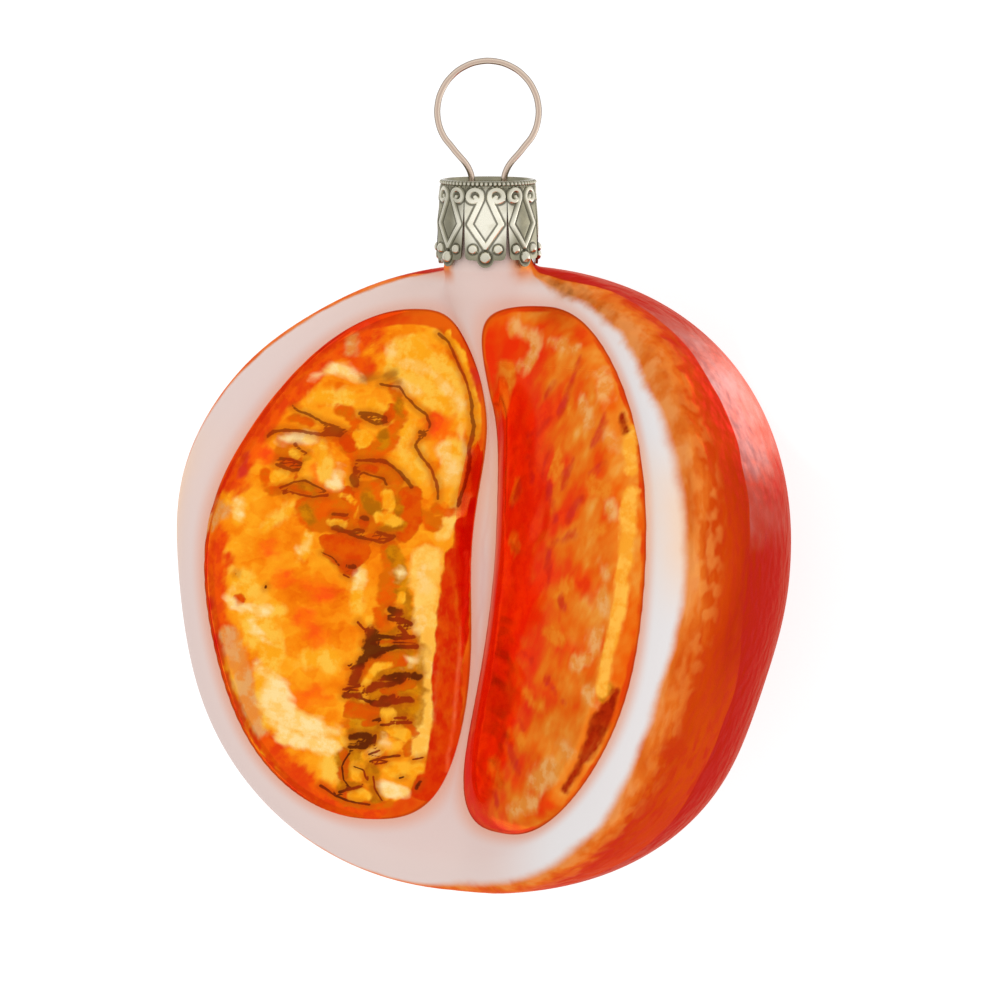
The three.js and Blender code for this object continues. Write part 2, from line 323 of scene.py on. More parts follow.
def keep(mesh, name, values):
    """Keeps a number, or three, with each vertex of a mesh, for its material to read."""
    kind, field = ("FLOAT", "value") if values.ndim == 1 else ("FLOAT_VECTOR", "vector")
    layer = mesh.attributes.new(name, kind, "POINT")
    layer.data.foreach_set(field, values.astype(np.float32).ravel())


steps = np.linspace(0, 1, RINGS + 1)[1:-1]
spread = END_CROWDING * np.cos(np.pi * steps) + (1 - END_CROWDING) * (1 - 2 * steps)
ring_heights = (FRUIT_UP - FRUIT_DOWN) / 2 - (FRUIT_UP + FRUIT_DOWN) / 2 * spread
chain = [(0, -FRUIT_DOWN)] + [(SKIN, y) for y in ring_heights] + [(SKIN, y) for y in NECK_RINGS]
chain += [(BORE, NECK_TOP), (BORE, NECK_FLOOR), (0, NECK_FLOOR)]
blank = spun(chain, COLUMNS)
glass_mesh = bpy.data.meshes.new("glass_fruit")
blank.to_mesh(glass_mesh)
blank.free()

# columns: their density by the direction round the stem, in degrees from the front
placed = places(glass_mesh)
radius = np.hypot(placed[:, 0], placed[:, 2])
directions = np.linspace(-180, 180, 2881)
density = 1 + 2.6 * smooth(np.abs(directions), 75, 50) + 0.9 * hump(np.abs(directions), 52, 12)
passed = np.concatenate([[0], np.cumsum((density[1:] + density[:-1]) / 2)])
around = (np.arctan2(placed[:, 0], placed[:, 2]) + math.pi) / math.tau
around = np.interp(around * passed[-1], passed, np.radians(directions))

skin = radius > (SKIN + BORE) / 2
placed[skin] = skin_points(placed[skin, 1], around[skin])
bore = (radius > BORE / 2) & ~skin
placed[bore, 0] = NECK_BORE * np.sin(around[bore])
placed[bore, 2] = NECK_BORE * np.cos(around[bore])
x, y, z = placed.T
on_cut = z - cut_height(x, y)
lying = np.stack([x, y, np.maximum(z, -AXIS_HEIGHT) + AXIS_HEIGHT], -1)
glass_mesh.vertices.foreach_set("co", (lying * MM).ravel())

# The painter's brushwork on the pulp, coat over coat, some of it painted reflections and highlights.
# Each coat has two tones that run into each other, how densely it lies, how soft and how ragged its
# edges are in mm, the lean of the bristles in degrees, and its strokes. A stroke is half the brush's
# width and the places (x, y) that it ran through, in mm from the stem axis and from the widest ring.
BRUSHWORK = [
    # red-orange washes along the outer side and over the upper part of the left segment
    ("#F05208", "#E43E0C", 0.95, 0.5, 0.9, 50, [
        (1.9, (-20.4, 18.8), (-17.6, 22.6), (-14.2, 24.3)), (1.0, (-13.4, 21.8), (-12.6, 21.3)),
        (0.6, (-11.9, 25.5), (-11.5, 23.4)), (0.7, (-19.4, 18.8), (-19.7, 17.4)),
        (2.0, (-22.2, 17.4), (-24.6, 12.6), (-25.5, 9.2)),
        (1.35, (-26.6, 2.6), (-26.9, -1), (-26.3, -5)), (0.4, (-25.2, 0.8), (-24.9, -0.6)),
        (1.3, (-26, -5.5), (-24.7, -9)), (0.6, (-22.6, 12.2), (-21.4, 11.2)),
        (1.4, (-20.5, -19.2), (-17.8, -22.4), (-15, -25.1), (-12.5, -26.6), (-9, -27.4)),
        (0.8, (-5.2, 15.9), (-4.8, 15)), (0.5, (-3, 17), (-2.8, 16.6)),
    ]),
    # the same, thinner, and a clear red on the inner half of the right segment
    ("#FF640C", "#FF5014", 0.75, 0.8, 1.4, 10, [
        (0.9, (-16.4, -2.6), (-14.4, -3.4)), (0.6, (-20.8, 1.3), (-19.6, 1)),
        (0.9, (-16.4, -6), (-15, -8.4)), (0.6, (-19.6, -1.6), (-18.8, -2)),
        (0.8, (-16.6, -15), (-14.6, -14.6)), (0.9, (-4.8, 15.6), (-4.4, 13.6)),
        (0.8, (-22.6, 12.2), (-21, 11.4)), (0.7, (-16.2, 10.2), (-14.8, 7.6)),
    ]),
    ("#F63A02", "#EC2C04", 0.85, 1.0, 2.4, 64, [
        (3.2, (7.6, 14), (8.4, 6), (7.2, 0), (7, -5)), (1.6, (6, 20.4), (5, 16)),
        (2.6, (4.6, -9), (4.6, -16), (3.6, -22)), (1.2, (7, -8), (11, -9.4)),
        (0.9, (18.2, 0), (19.4, -0.8)), (0.9, (16, -7), (18, -7.4)), (1.0, (9, 15), (12.6, 19.4)),
        (0.9, (10, 9), (14.4, 12.4)), (0.8, (10, 4), (15.4, 7)), (0.7, (10.6, -2), (14, 0.6)),
        (0.8, (6.4, -13), (9, -16.4)), (0.8, (6, -20), (10, -22.6)), (0.6, (18, 9), (19.6, 11)),
    ]),
    # tan, where the wash was wiped thin; at the left rim it is a painted reflection of something grey
    ("#E2A464", "#E68C3C", 0.85, 0.5, 0.8, 60, [
        (0.9, (-27.2, 5.8), (-26, 5.4)), (0.8, (-27.9, 3.6), (-27.5, 4.6)),
        (0.5, (-14.8, 24.6), (-14.4, 23)),
        (1.2, (-24.4, -8.6), (-22.9, -12.4), (-21.3, -16), (-20.5, -18.2)),
    ]),
    # clear yellow beside the membrane and in patches
    ("#FDC044", "#FDA81C", 0.9, 0.5, 1.0, 80, [
        (2.4, (-8.3, 22.6), (-6.2, 20.6)), (1.6, (-4.6, 21), (-3.4, 17.4)),
        (1.0, (-3.2, 12.8), (-3.3, 9)), (1.1, (-6, 18.5), (-5, 17.4)),
        (0.7, (-7.6, 15.4), (-8.1, 13), (-7.8, 11.4)), (0.7, (-11.2, -1), (-10.8, -5)),
        (1.6, (-21.4, -6.6), (-19.6, -10)), (1.5, (-20, -12.4), (-18.8, -17)),
        (1.6, (-18, -17.5), (-13.4, -19.6)), (0.7, (-21.8, -5), (-19, -5.4)),
        (0.8, (-16.9, 2.4), (-17.1, 1.2)), (0.5, (-24.5, 6.2), (-24.3, 4.6)),
        (0.4, (-24.6, -1), (-24.4, -4.6)), (0.9, (-16.4, 12.4), (-15.4, 9.4)),
        (1.2, (-15.5, -10.5), (-13.5, -11)), (1.0, (-22.8, -1.8), (-22.4, -3)),
        (0.7, (-21, 4), (-19, 5.8)), (0.8, (-12.8, -22), (-12.6, -23.2)),
        (0.9, (-17.4, 18.2), (-14.4, 18)), (0.8, (-6.4, 12.4), (-6, 9.4)),
    ]),
    # the gold band beside the flank
    ("#FFCC62", "#FFBC48", 0.95, 0.3, 0.35, 85, [
        (1.35, (-4.9, 0.6), (-4.8, -2.2)), (1.05, (-4.6, -3), (-4.5, -7)),
        (0.85, (-4.2, -7.6), (-3.7, -12)), (0.7, (-3.6, -12), (-3.4, -17)),
        (0.85, (-3.7, -17), (-4.2, -20.8)), (0.6, (-3.7, 3), (-2.9, 4.8), (-2.1, 7)),
    ]),
    # red-orange down the flank beside the membrane, a painted reflection of the right segment's orange
    ("#D42604", "#DC3604", 0.95, 0.12, 0.2, 85, [
        (0.3, (-1.3, 6.8), (-1.6, 5)), (0.8, (-1.8, 4.2), (-2, 2)),
        (1.2, (-2.1, 0.5), (-2.2, -6), (-2.1, -12), (-1.9, -18), (-2.3, -22), (-3.7, -25.2)),
    ]),
    # amber-brown lacquer, a web of it over the middle and down towards the ripples
    ("#E85A04", "#DA6806", 0.95, 0.25, 0.6, 20, [
        (0.45, (-4.8, 25.6), (-2.9, 23.2), (-1.7, 19.8)),
        (1.5, (-17, 5.6), (-13.6, 6.6), (-10.4, 7.4), (-8, 6.6)),
        (1.3, (-15.6, 4.4), (-12, 4.6), (-8, 4)),
        (1.1, (-14.2, 13.4), (-12.6, 12.2), (-10.4, 12.2), (-9.5, 13.4)),
        (0.6, (-9.5, 19), (-8.8, 17.6), (-8.5, 15.6), (-9.4, 14)),
        (0.9, (-12.2, 10.6), (-10, 10.3), (-8.4, 8.8)), (0.9, (-20.2, 13), (-20.5, 11.8), (-19, 11)),
        (0.6, (-19.8, 8.1), (-18, 8.2), (-16.2, 7.5)), (0.5, (-20, 15.7), (-17.8, 15.3)),
        (0.5, (-15, 16.9), (-13.6, 16.4), (-13, 14.6)), (0.5, (-21.9, 9.8), (-21.6, 8.2), (-20.8, 7.7)),
        (0.9, (-8.4, 1.6), (-8, -1), (-8.2, -4)), (0.6, (-8.9, -5.4), (-8, -7.3)),
        (0.5, (-12.8, -0.4), (-12.1, -1)), (0.6, (-4.2, 5.8), (-3.2, 5.4)),
        (0.8, (-5.8, 5.2), (-4.4, 4.2)), (1.0, (-10.6, -15.8), (-8.8, -16.3)),
        (0.7, (-11.4, -17.6), (-10.6, -18.4)),
        (0.5, (-12.7, -25.4), (-11.5, -26.5), (-9, -26.9), (-7, -26.7)),
    ]),
    # deep orange on it
    ("#DA4204", "#E05404", 0.95, 0.14, 0.4, 0, [
        (0.35, (-19.9, 10.9), (-18.4, 10.5)), (0.35, (-18.8, 9.7), (-18.6, 8.9)),
        (0.3, (-19.4, 8.1), (-17.6, 8)), (0.6, (-13.3, 7.9), (-13, 7.3)), (1.2, (-7, 7.2), (-6.7, 5.4)),
        (1.0, (-6.6, 4.6), (-7, 3.3)), (0.3, (-14.2, 4.9), (-13, 4.7)),
        (0.4, (-11.3, 4.7), (-11.2, 3.9)), (0.25, (-10.8, 2.9), (-9.4, 2.7)),
        (1.9, (-13.1, 1.5), (-12.2, 1.2)), (0.8, (-14.7, 2.2), (-11, 2.3)),
        (0.7, (-12.3, 0), (-12.1, -0.7)), (0.6, (-23.5, -4.4), (-23.4, -4.2)),
        (0.5, (-9.4, 16.8), (-10, 15.4)), (0.6, (-14, 13.6), (-13.2, 12.6)),
        (0.4, (-12, 10.4), (-10.6, 10.1)),
    ]),
    # olive-brown lacquer, thin enough to let the gold through, and painted shade along the ripple
    # column's right edge
    ("#D08408", "#AC6608", 0.8, 0.28, 0.7, 10, [
        (0.5, (23.5, -10.8), (22.8, -12.2)), (0.35, (-8.9, 18), (-8.5, 16)),
        (0.45, (-10.2, 14.4), (-10, 12.8)), (0.28, (-17.9, 11.1), (-17.6, 12)),
        (0.5, (-18, 8.4), (-17, 8.2)), (0.35, (-16.4, 7.4), (-15.9, 7)),
        (0.6, (-17.4, 6), (-16.6, 4.6)), (0.8, (-10.9, 7.2), (-10.2, 5.8)),
        (0.5, (-8.2, 6.6), (-7.9, 5.6)), (0.6, (-9.2, 3.8), (-7.6, 4)),
        (0.7, (-8, 1.2), (-7.5, 0), (-7.1, -1.8)), (0.7, (-6.8, -3.2), (-6.2, -5), (-6.3, -6)),
        (0.6, (-6.1, -6.9), (-7, -7.3)), (2.1, (-7.5, -9.5), (-6.9, -12)),
        (2.2, (-7.2, -13), (-6.8, -15.4)), (1.6, (-9.5, -13.5), (-9.8, -15.6)),
        (1.4, (-5.9, -16), (-5.8, -18)), (1.9, (-9.2, -18), (-9.2, -20)),
        (0.8, (-11.3, -21), (-11.1, -23)), (0.6, (-9.8, -21.8), (-8.5, -23), (-8.2, -25.8)),
        (0.5, (-11.6, -24.6), (-9.9, -24.7)),
        # painted shade along the ripple column's right edge
        (0.45, (-4.9, -8.4), (-4.5, -10.5), (-4.2, -14), (-4.4, -17.4)),
    ]),
    # orange over the olive
    ("#DC5004", "#D46404", 0.9, 0.14, 0.4, 0, [
        (0.24, (-9.2, -8.75), (-5.2, -8.7)), (0.9, (-8.7, -10.8), (-6.6, -10.5)),
        (0.6, (-10.2, -11.7), (-9.8, -12.8)), (0.5, (-7.8, -14.1), (-5.8, -13.8)),
        (0.9, (-10.8, -16.4), (-8.8, -16.3)), (0.4, (-5.4, -17.6), (-4.6, -18.8)),
        (0.4, (-5.3, -19.8), (-5.2, -21)), (0.2, (-11.6, -13.9), (-10.2, -14)),
        (0.6, (-6.4, -12.9), (-5.4, -13.4)), (0.45, (-11.7, -20.6), (-11.2, -22), (-11.5, -23.6)),
        (0.4, (-9.6, -17.6), (-7.6, -17.4)), (0.5, (-7.4, -13.8), (-6.6, -15)),
    ]),
    # yellow over all of them
    ("#FDA014", "#FFB42C", 0.95, 0.2, 0.45, 70, [
        (0.4, (-7.6, -11.2), (-8.8, -11.6), (-9.5, -12.8), (-10, -14), (-9.7, -15)),
        (0.8, (-7.2, -16.6), (-7, -18), (-5.6, -18.9)), (0.6, (-7.4, -20), (-9, -21.2)),
        (0.7, (-10.1, -22.6), (-10, -23.3)), (0.6, (-10.6, -25.8), (-9.3, -25.6)),
        (0.9, (-6.5, -22.8), (-4.5, -22.6)), (0.55, (-9.2, 7.6), (-8.9, 6.2)),
        (0.65, (-9.6, 4.9), (-8.1, 4.5)), (0.3, (-6.8, -3.6), (-6.7, -4.3)),
        (0.5, (-19.2, 11.9), (-18.9, 11.7)), (0.7, (-20.7, 9.2), (-20, 9.6)),
        (0.25, (-13.6, 7.4), (-12.2, 6.6), (-12, 5)),
        (0.4, (-4.4, 25), (-2.7, 22.8), (-2, 20.6), (-1.5, 18.4)), (0.4, (-14.4, 4.3), (-13.4, 4.2)),
        (0.8, (-12.4, 14), (-12, 13.4)), (0.7, (-10.6, 16.8), (-11.6, 17.4)),
        (0.5, (-6.2, -20), (-6.6, -20.6)), (0.4, (-9.9, -6.2), (-9.6, -6.8)),
    ]),
    # cream, where hardly any lacquer covers the silver; the big cream patch low on the left is a painted
    # reflection of a bright softbox
    ("#FFE09C", "#FFCE70", 0.88, 0.5, 1.2, -20, [
        (0.4, (-18.2, 20.2), (-16.2, 21), (-14.5, 20.9), (-13.2, 20.1)),
        (0.45, (-20.3, 13.6), (-18.8, 13.7), (-17.4, 13.3)), (0.4, (-14.6, 8.4), (-14.2, 9.6)),
        (0.4, (-24.6, 6.3), (-24.4, 5)), (0.35, (-24.5, -3.2), (-24, -4.8)),
        (0.4, (-22.9, -5.2), (-20.5, -5.6)), (0.35, (-22, -6.6), (-20.2, -9)),
        (0.4, (-21, -11.4), (-19, -13.4)), (1.5, (-19.2, -14.4), (-18.2, -16.6)),
        (1.1, (-18, -17.2), (-14.5, -18)), (0.8, (-17.3, -19.2), (-13, -20.3)),
        (0.5, (-13.8, -18.4), (-12.4, -18.6)), (0.4, (-11.3, -1.4), (-11.2, -2.4)),
        (0.35, (-16.7, 2.3), (-17, 1.4)), (0.6, (-6.9, -24.9), (-5.7, -25.2)),
        (0.25, (-7.3, -1.2), (-7.1, -2)), (0.4, (-7.8, -19.8), (-8.6, -20.8)),
        (0.4, (-5.6, -11.4), (-5.4, -10.6)),
    ]),
    # pale cream beside the membrane, with painted highlights in short streaks down the gold band
    ("#FFD080", "#FDBC50", 0.85, 0.5, 0.9, 75, [
        (0.4, (-10.2, 23.6), (-9.6, 22)), (0.45, (-9, 21.8), (-7, 21.3), (-5.6, 20.8)),
        (0.4, (-5.6, 20.8), (-4, 19), (-2.8, 17.4)), (0.5, (-8.6, 19.5), (-7, 18.5)),
        (0.65, (-3.9, 12.6), (-3.2, 10.5), (-3.3, 9)), (0.3, (-2.6, 14.5), (-2.2, 12)),
        (0.3, (-5, -0.6), (-4.7, -2.8)), (0.25, (-4.9, -5.2), (-5, -7)), (0.25, (-4, -10), (-3.7, -12)),
    ]),
    # the same on the right segment, over more orange
    ("#F0AC64", "#EA9038", 0.9, 0.6, 1.3, 75, [
        (0.8, (4.6, 26.2), (7.5, 24.8)), (0.4, (9.6, 25), (13.4, 24.5)), (0.7, (7, 23.2), (5.4, 22)),
        (0.7, (16, 18.8), (17, 17)), (0.8, (18, 21.8), (19, 20)), (0.6, (20.4, 15.8), (21.2, 14.8)),
        (0.6, (21.8, 8.4), (22.4, 7.4)), (0.5, (21, 2.4), (22, 1)), (0.9, (21.8, -1.4), (22.5, -2.6)),
        (0.9, (21.5, -5.5), (21.5, -7)), (0.7, (20.2, -8.4), (19, -9)), (0.7, (21, -11.8), (21.4, -13)),
        (0.9, (17.4, -18), (18.6, -18.8)), (1.2, (13.4, -22.5), (15.6, -20.8)),
        (0.9, (10, -26), (13, -24.4)),
    ]),
    # yellow band along the outer border of the right segment, and soft orange lights on it
    ("#FFBA48", "#FAA42C", 0.95, 0.3, 0.4, 85, [
        (0.6, (22.6, 16.2), (23.7, 12)), (0.85, (24, 9.6), (24.5, 4), (24.3, -2), (24, -4.6)),
        (0.8, (23.8, -5), (22.7, -11.4)),
    ]),
    ("#F28C24", "#EC7410", 0.8, 0.6, 1.4, 70, [
        (0.8, (3, 21.4), (2.8, 17)), (0.9, (12.8, 13.6), (13.2, 11)), (0.5, (6.2, 9.4), (6.2, 7.6)),
        (0.9, (13.6, -6), (16, -6.4)), (0.8, (9.4, -17.4), (10.6, -18.4)), (0.9, (15, -2), (16, -0.6)),
        (0.8, (19, 10.6), (21, 10)), (0.6, (18.4, 5), (21, 5.6)), (0.6, (7.4, 2.6), (6.6, 3.4)),
        (0.8, (11, -13), (13, -14)), (0.7, (13.4, 20), (14, 18)), (0.8, (6.2, -21.6), (7.4, -23)),
    ]),
    # crimson strokes
    ("#D02824", "#D02C12", 0.75, 0.45, 1.0, 60, [
        (0.4, (14.5, 23.4), (13.8, 21.5), (12.4, 17.4)), (0.3, (10.7, 20.8), (10, 19.3)),
        (0.35, (18.2, 14.6), (19.3, 17.2)), (0.3, (20.3, 12.8), (18.3, 11.6)),
        (0.45, (15.6, 6.4), (17.3, 8.7)), (0.3, (13.4, 3.6), (17, 4.8)),
        (0.3, (12.8, 2.8), (13.4, -0.7)), (0.3, (15.2, 12.8), (14.2, 9.6)),
        (0.35, (14.4, -11.2), (17.2, -13)), (0.45, (7.8, -18.2), (9.2, -19.4), (10.8, -21.8)),
        (0.3, (10.2, -16), (11, -17)), (0.3, (6.4, -24.4), (7.4, -25.6)),
        (0.3, (15.6, -2.2), (16.8, -3.4)), (0.3, (10.8, 16.8), (9.4, 15.2), (7.6, 14.6)),
        (0.25, (11.3, 13.8), (10.7, 10.6)), (0.2, (8.1, 12.3), (9, 10)),
        (0.3, (9.6, -8.6), (11.4, -9.5)), (0.25, (11.8, 9.9), (13, 8)), (0.25, (6.8, 9.6), (6, 6.6)),
        (0.25, (12.4, 8), (13.8, 6)), (0.25, (-1.2, 21), (-0.9, 19), (-0.8, 17)),
        (0.6, (-18.4, 23.2), (-15.6, 25.6), (-13, 26.5)), (0.6, (-24.6, 11.6), (-24.4, 10)),
        (0.5, (-27.4, -4.6), (-26.5, -8), (-25.2, -12), (-23.6, -15.6), (-21.6, -19)),
    ]),
    # a deep red patch by the outer border of the right segment, a painted reflection of something dark
    ("#AC2604", "#981C02", 0.95, 0.3, 0.3, 60, [
        (0.3, (24.1, -11.4), (23.7, -13)), (0.7, (23.2, -13.4), (22.6, -15)),
        (1.0, (22.3, -14.8), (21.7, -16.4)), (0.65, (21.4, -17), (20.2, -19)),
        (0.35, (20, -19.4), (17.4, -22.8)), (0.3, (21.3, 17.8), (22.2, 16.2)),
    ]),
    # a dusty smear, and a thin painted highlight, a wet gleam, down the flank
    ("#8C4A14", "#A05818", 0.65, 0.5, 1.0, 15, [
        (0.45, (-12.6, 19.9), (-11.2, 20.2), (-9.6, 20.8)), (0.25, (-12, 19.6), (-11, 19.2)),
        (0.2, (-9.6, 20.4), (-9, 19.6)),
    ]),
    ("#FF7844", "#FA5C28", 0.7, 0.22, 0.05, 85, [
        (0.1, (-1.6, 1), (-1.25, -4), (-1.2, -12), (-1.3, -18), (-1.9, -23)),
    ]),
]

# dark red-brown lines of painted reflection: the dark surroundings that the silvered relief would
# mirror, painted on
PAINTED_REFLECTION_LINES = [
    (0.14, (-19.9, 17), (-19.3, 16.5), (-18, 16), (-17, 15.6), (-16.2, 15.1), (-15, 14.9), (-14, 14.4)),
    (0.34, (-15.9, 14.3), (-14.6, 14.4)),
    (0.17, (-21.7, 14.3), (-19, 14.4), (-17.5, 14), (-16, 13.8), (-14.5, 14)),
    (0.22, (-22.1, 13.7), (-21.7, 14.2)),
    (0.2, (-12.8, 16.3), (-11.5, 16.3), (-10.1, 16), (-10, 15.4), (-10.8, 15.2), (-12, 15.7),
     (-12.8, 16.3)),
    (0.13, (-11, 19.5), (-9, 19.3), (-8, 18), (-7, 17), (-6, 16.2), (-5.6, 15.2), (-5.7, 14.6)),
    (0.2, (-6.6, 14.2), (-6, 14)),
    (0.16, (-6.5, 13.6), (-6.8, 12.8), (-6, 11.4), (-5, 10.2), (-4.4, 9), (-4.2, 7)),
    (0.2, (-12.4, 11.2), (-11.5, 11.15), (-10, 11.1), (-9, 10.6), (-8, 9.8), (-7.3, 8.9), (-6.8, 8.3)),
    (0.25, (-12.6, 10.3), (-12.4, 9.8)), (0.45, (-12.6, 9.2), (-12.4, 8.7)),
    (0.12, (-12, 10), (-11.2, 9.6), (-9.6, 9.1), (-9.3, 8.6)),
    (0.17, (-20.6, 11.3), (-19.5, 11.1), (-18.2, 10.7)),
    (0.17, (-20.8, 10.6), (-19, 10), (-18.3, 10.1)), (0.13, (-19, 12.9), (-18.4, 12.2), (-17.8, 11.9)),
    (0.2, (-19.1, 12.9), (-18.8, 12.7)),
    (0.12, (-20.5, 8), (-19, 8.7), (-17.5, 8.8), (-16, 8.2), (-15, 7.3), (-17, 7.1), (-18.5, 7.5),
     (-20.5, 8)),
    (0.12, (-20, 7.5), (-19.5, 7.2)), (0.2, (-14.3, 5.3), (-13.1, 5.2)),
    (0.22, (-11.4, 5), (-10.9, 4.8)), (0.32, (-14.1, 3.7), (-13.5, 3.6)),
    (0.22, (-13.5, 3.5), (-12.4, 3.3)), (0.2, (-12, 3.6), (-11.2, 3.5)),
    (0.16, (-12.4, 3), (-10.5, 2.5), (-9, 2.2), (-8.3, 2.5)),
    (0.24, (-9.8, 3.3), (-8.8, 3), (-8.1, 2.8)), (0.22, (-12.2, -0.4), (-11.7, -0.4)),
    (0.08, (-15.2, 1.1), (-14, 0.4), (-13.2, -0.3)), (0.1, (-12.7, -1.3), (-12.1, -1.7)),
    (0.14, (-20.6, -2.8), (-20.6, -2.9)), (0.12, (-24, -1.4), (-24, -1.6)),
    (0.14, (-5.4, 25.2), (-4.2, 24.2), (-3.4, 22.6), (-2.6, 20.6), (-1.9, 18.4)),
    (0.17, (-1.9, 18.4), (-1.6, 16), (-1.6, 14), (-1.85, 12.6), (-1.8, 10.4), (-2.1, 8.6),
     (-2.5, 7), (-2.6, 6.2)),
    (0.4, (-7.7, -5.2), (-6.9, -5.5)), (0.27, (-7.8, -6.1), (-6.2, -6.4), (-5.8, -6.7)),
    (0.65, (-9.4, -7.6), (-9.6, -9.6)), (0.24, (-9.2, -8), (-7, -8.3), (-5.3, -8.1)),
    (0.28, (-9.4, -9.5), (-8, -9.6), (-7, -9.3), (-5.1, -9.3)), (0.5, (-9.8, -10), (-8.8, -10)),
    (0.13, (-10.9, -6.6), (-10.2, -7.3), (-9.6, -7.4)),
    (0.1, (-11.6, -11.3), (-10.9, -11.7), (-10.5, -11)),
    (0.5, (-10.2, -10.6), (-10.7, -12), (-10.9, -13)), (0.16, (-11.9, -14), (-10.3, -13.6)),
    (0.33, (-11.7, -14.6), (-10.3, -14.7)), (0.14, (-10.2, -14.9), (-9, -15.4)),
    (0.3, (-7.8, -12.6), (-6.5, -12.3), (-5.8, -12.3)),
    (0.4, (-9.3, -14), (-8.8, -13.5), (-7, -13.2), (-6.2, -12.9)), (0.38, (-5, -12.4), (-4.6, -12.6)),
    (0.28, (-9, -15.4), (-8, -15.6), (-6.5, -15.3), (-5, -15.1)), (0.26, (-8, -14.9), (-6.9, -14.8)),
    (0.22, (-6, -15), (-5.2, -14.9)), (0.17, (-8.8, -17.3), (-8.1, -17.2)),
    (0.18, (-6.6, -17.1), (-5.6, -17)), (0.34, (-10.8, -19.2), (-9.4, -18.9)),
    (0.42, (-9.1, -19.1), (-8.8, -19.6), (-9.6, -19.9)), (0.2, (-10.9, -20.3), (-9.3, -20.3)),
    (0.16, (-8.8, -21.8), (-7.5, -21.5), (-6, -21.1)), (0.09, (-4.7, -21.7), (-3.7, -21.5)),
    (0.12, (-5.9, -23.7), (-5.5, -23.6)), (0.2, (-11.8, -25.3), (-10.5, -24.9), (-9.6, -24.6)),
    (0.14, (-13.8, -24.6), (-12.3, -25.7), (-11, -26.4), (-9, -26.7)),
    (0.12, (-8.3, -22.2), (-7.1, -22)),
    (0.1, (-10.9, -21), (-11.6, -22.4), (-11.4, -23.9), (-10.6, -25.1)),
    (0.08, (-10.4, -22.4), (-9.4, -22.8), (-8.9, -23.9)),
    (0.09, (-8.4, -23.6), (-8.2, -25), (-7.8, -26.2)), (0.2, (-4.5, -24.9), (-4.1, -24.2)),
    (0.2, (-6.8, -7.1), (-6, -7.9)), (0.16, (-6.3, -17.6), (-5, -17.5)),
    (0.16, (-7.9, -17.9), (-6.8, -17.7)), (0.12, (-8.4, -18.9), (-8.4, -20.1)),
    (0.12, (-8.9, -21), (-7.9, -20.7)),
]


FAR = 9.0


def to_strokes(strokes, x, y):
    """The way to the nearest stroke, in halves of its width, and the distance in mm outside it."""
    found = np.full((3, *x.shape), FAR)
    for half, *way in strokes:
        for begin, end in zip(way, way[1:]):
            along_x, along_y = end[0] - begin[0], end[1] - begin[1]
            share = ((x - begin[0]) * along_x + (y - begin[1]) * along_y) / (along_x**2 + along_y**2)
            share = np.clip(share, 0, 1)
            off_x, off_y = x - begin[0] - share * along_x, y - begin[1] - share * along_y
            off = np.hypot(off_x, off_y) - half
            found = np.where(off < found[2], (off_x / half, off_y / half, off), found)
    return found.T


# What the painter followed, kept on the skin: the depth in mm inside a segment's outline,
# the place across it from -1 to 1, and the distance in mm in front of the cut's own plane
# (less than nothing on the rind). The brush's edges were unsteady by a little.
OUTSIDE = -20
WOBBLES = ((0.14, 1.7), (0.05, 0.7))
front = smooth(on_cut, -6, -3)
across_left, across_right = (on_segment(segment, x, y)[0] for segment in SEGMENTS)
keep(glass_mesh, "pulp_depth", pulp_depth(x, y) * front + OUTSIDE * (1 - front))
keep(glass_mesh, "pulp_across", np.where(x < 0, across_left, across_right))
keep(glass_mesh, "cut_reach", on_cut / math.hypot(1, CUT_FOLD, CUT_LEAN))
wet_x, wet_y = x, y
for seed, (height, width) in enumerate(WOBBLES):
    wet_x = wet_x + height * soft_noise(x / width, y / width, 11 + seed)
    wet_y = wet_y + height * soft_noise(x / width, y / width, 13 + seed)
layers = [(f"coat_{number}", coat[-1]) for number, coat in enumerate(BRUSHWORK)]
for name, strokes in layers + [("painted_reflection_lines", PAINTED_REFLECTION_LINES)]:
    ways = np.full((len(x), 3), FAR)
    ways[front > 0] = to_strokes(strokes, wet_x[front > 0], wet_y[front > 0])
    keep(glass_mesh, name, ways)
glass_mesh.polygons.foreach_set("use_smooth", [True] * len(glass_mesh.polygons))
glass_mesh.update()
glass_fruit = in_scene("glass_fruit", glass_mesh)
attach(glass_fruit, "root")
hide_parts("glass_body")


def linear(hex_colour):
    """An sRGB hex colour as linear RGBA."""
    parts = [int(hex_colour[i : i + 2], 16) / 255 for i in (1, 3, 5)]
    return [c / 12.92 if c <= 0.04045 else ((c + 0.055) / 1.055) ** 2.4 for c in parts] + [1.0]


def emptied(owner):
    """The node tree of a material or of the world, with nothing in it yet."""
    owner.use_nodes = True
    owner.node_tree.nodes.clear()
    return owner.node_tree


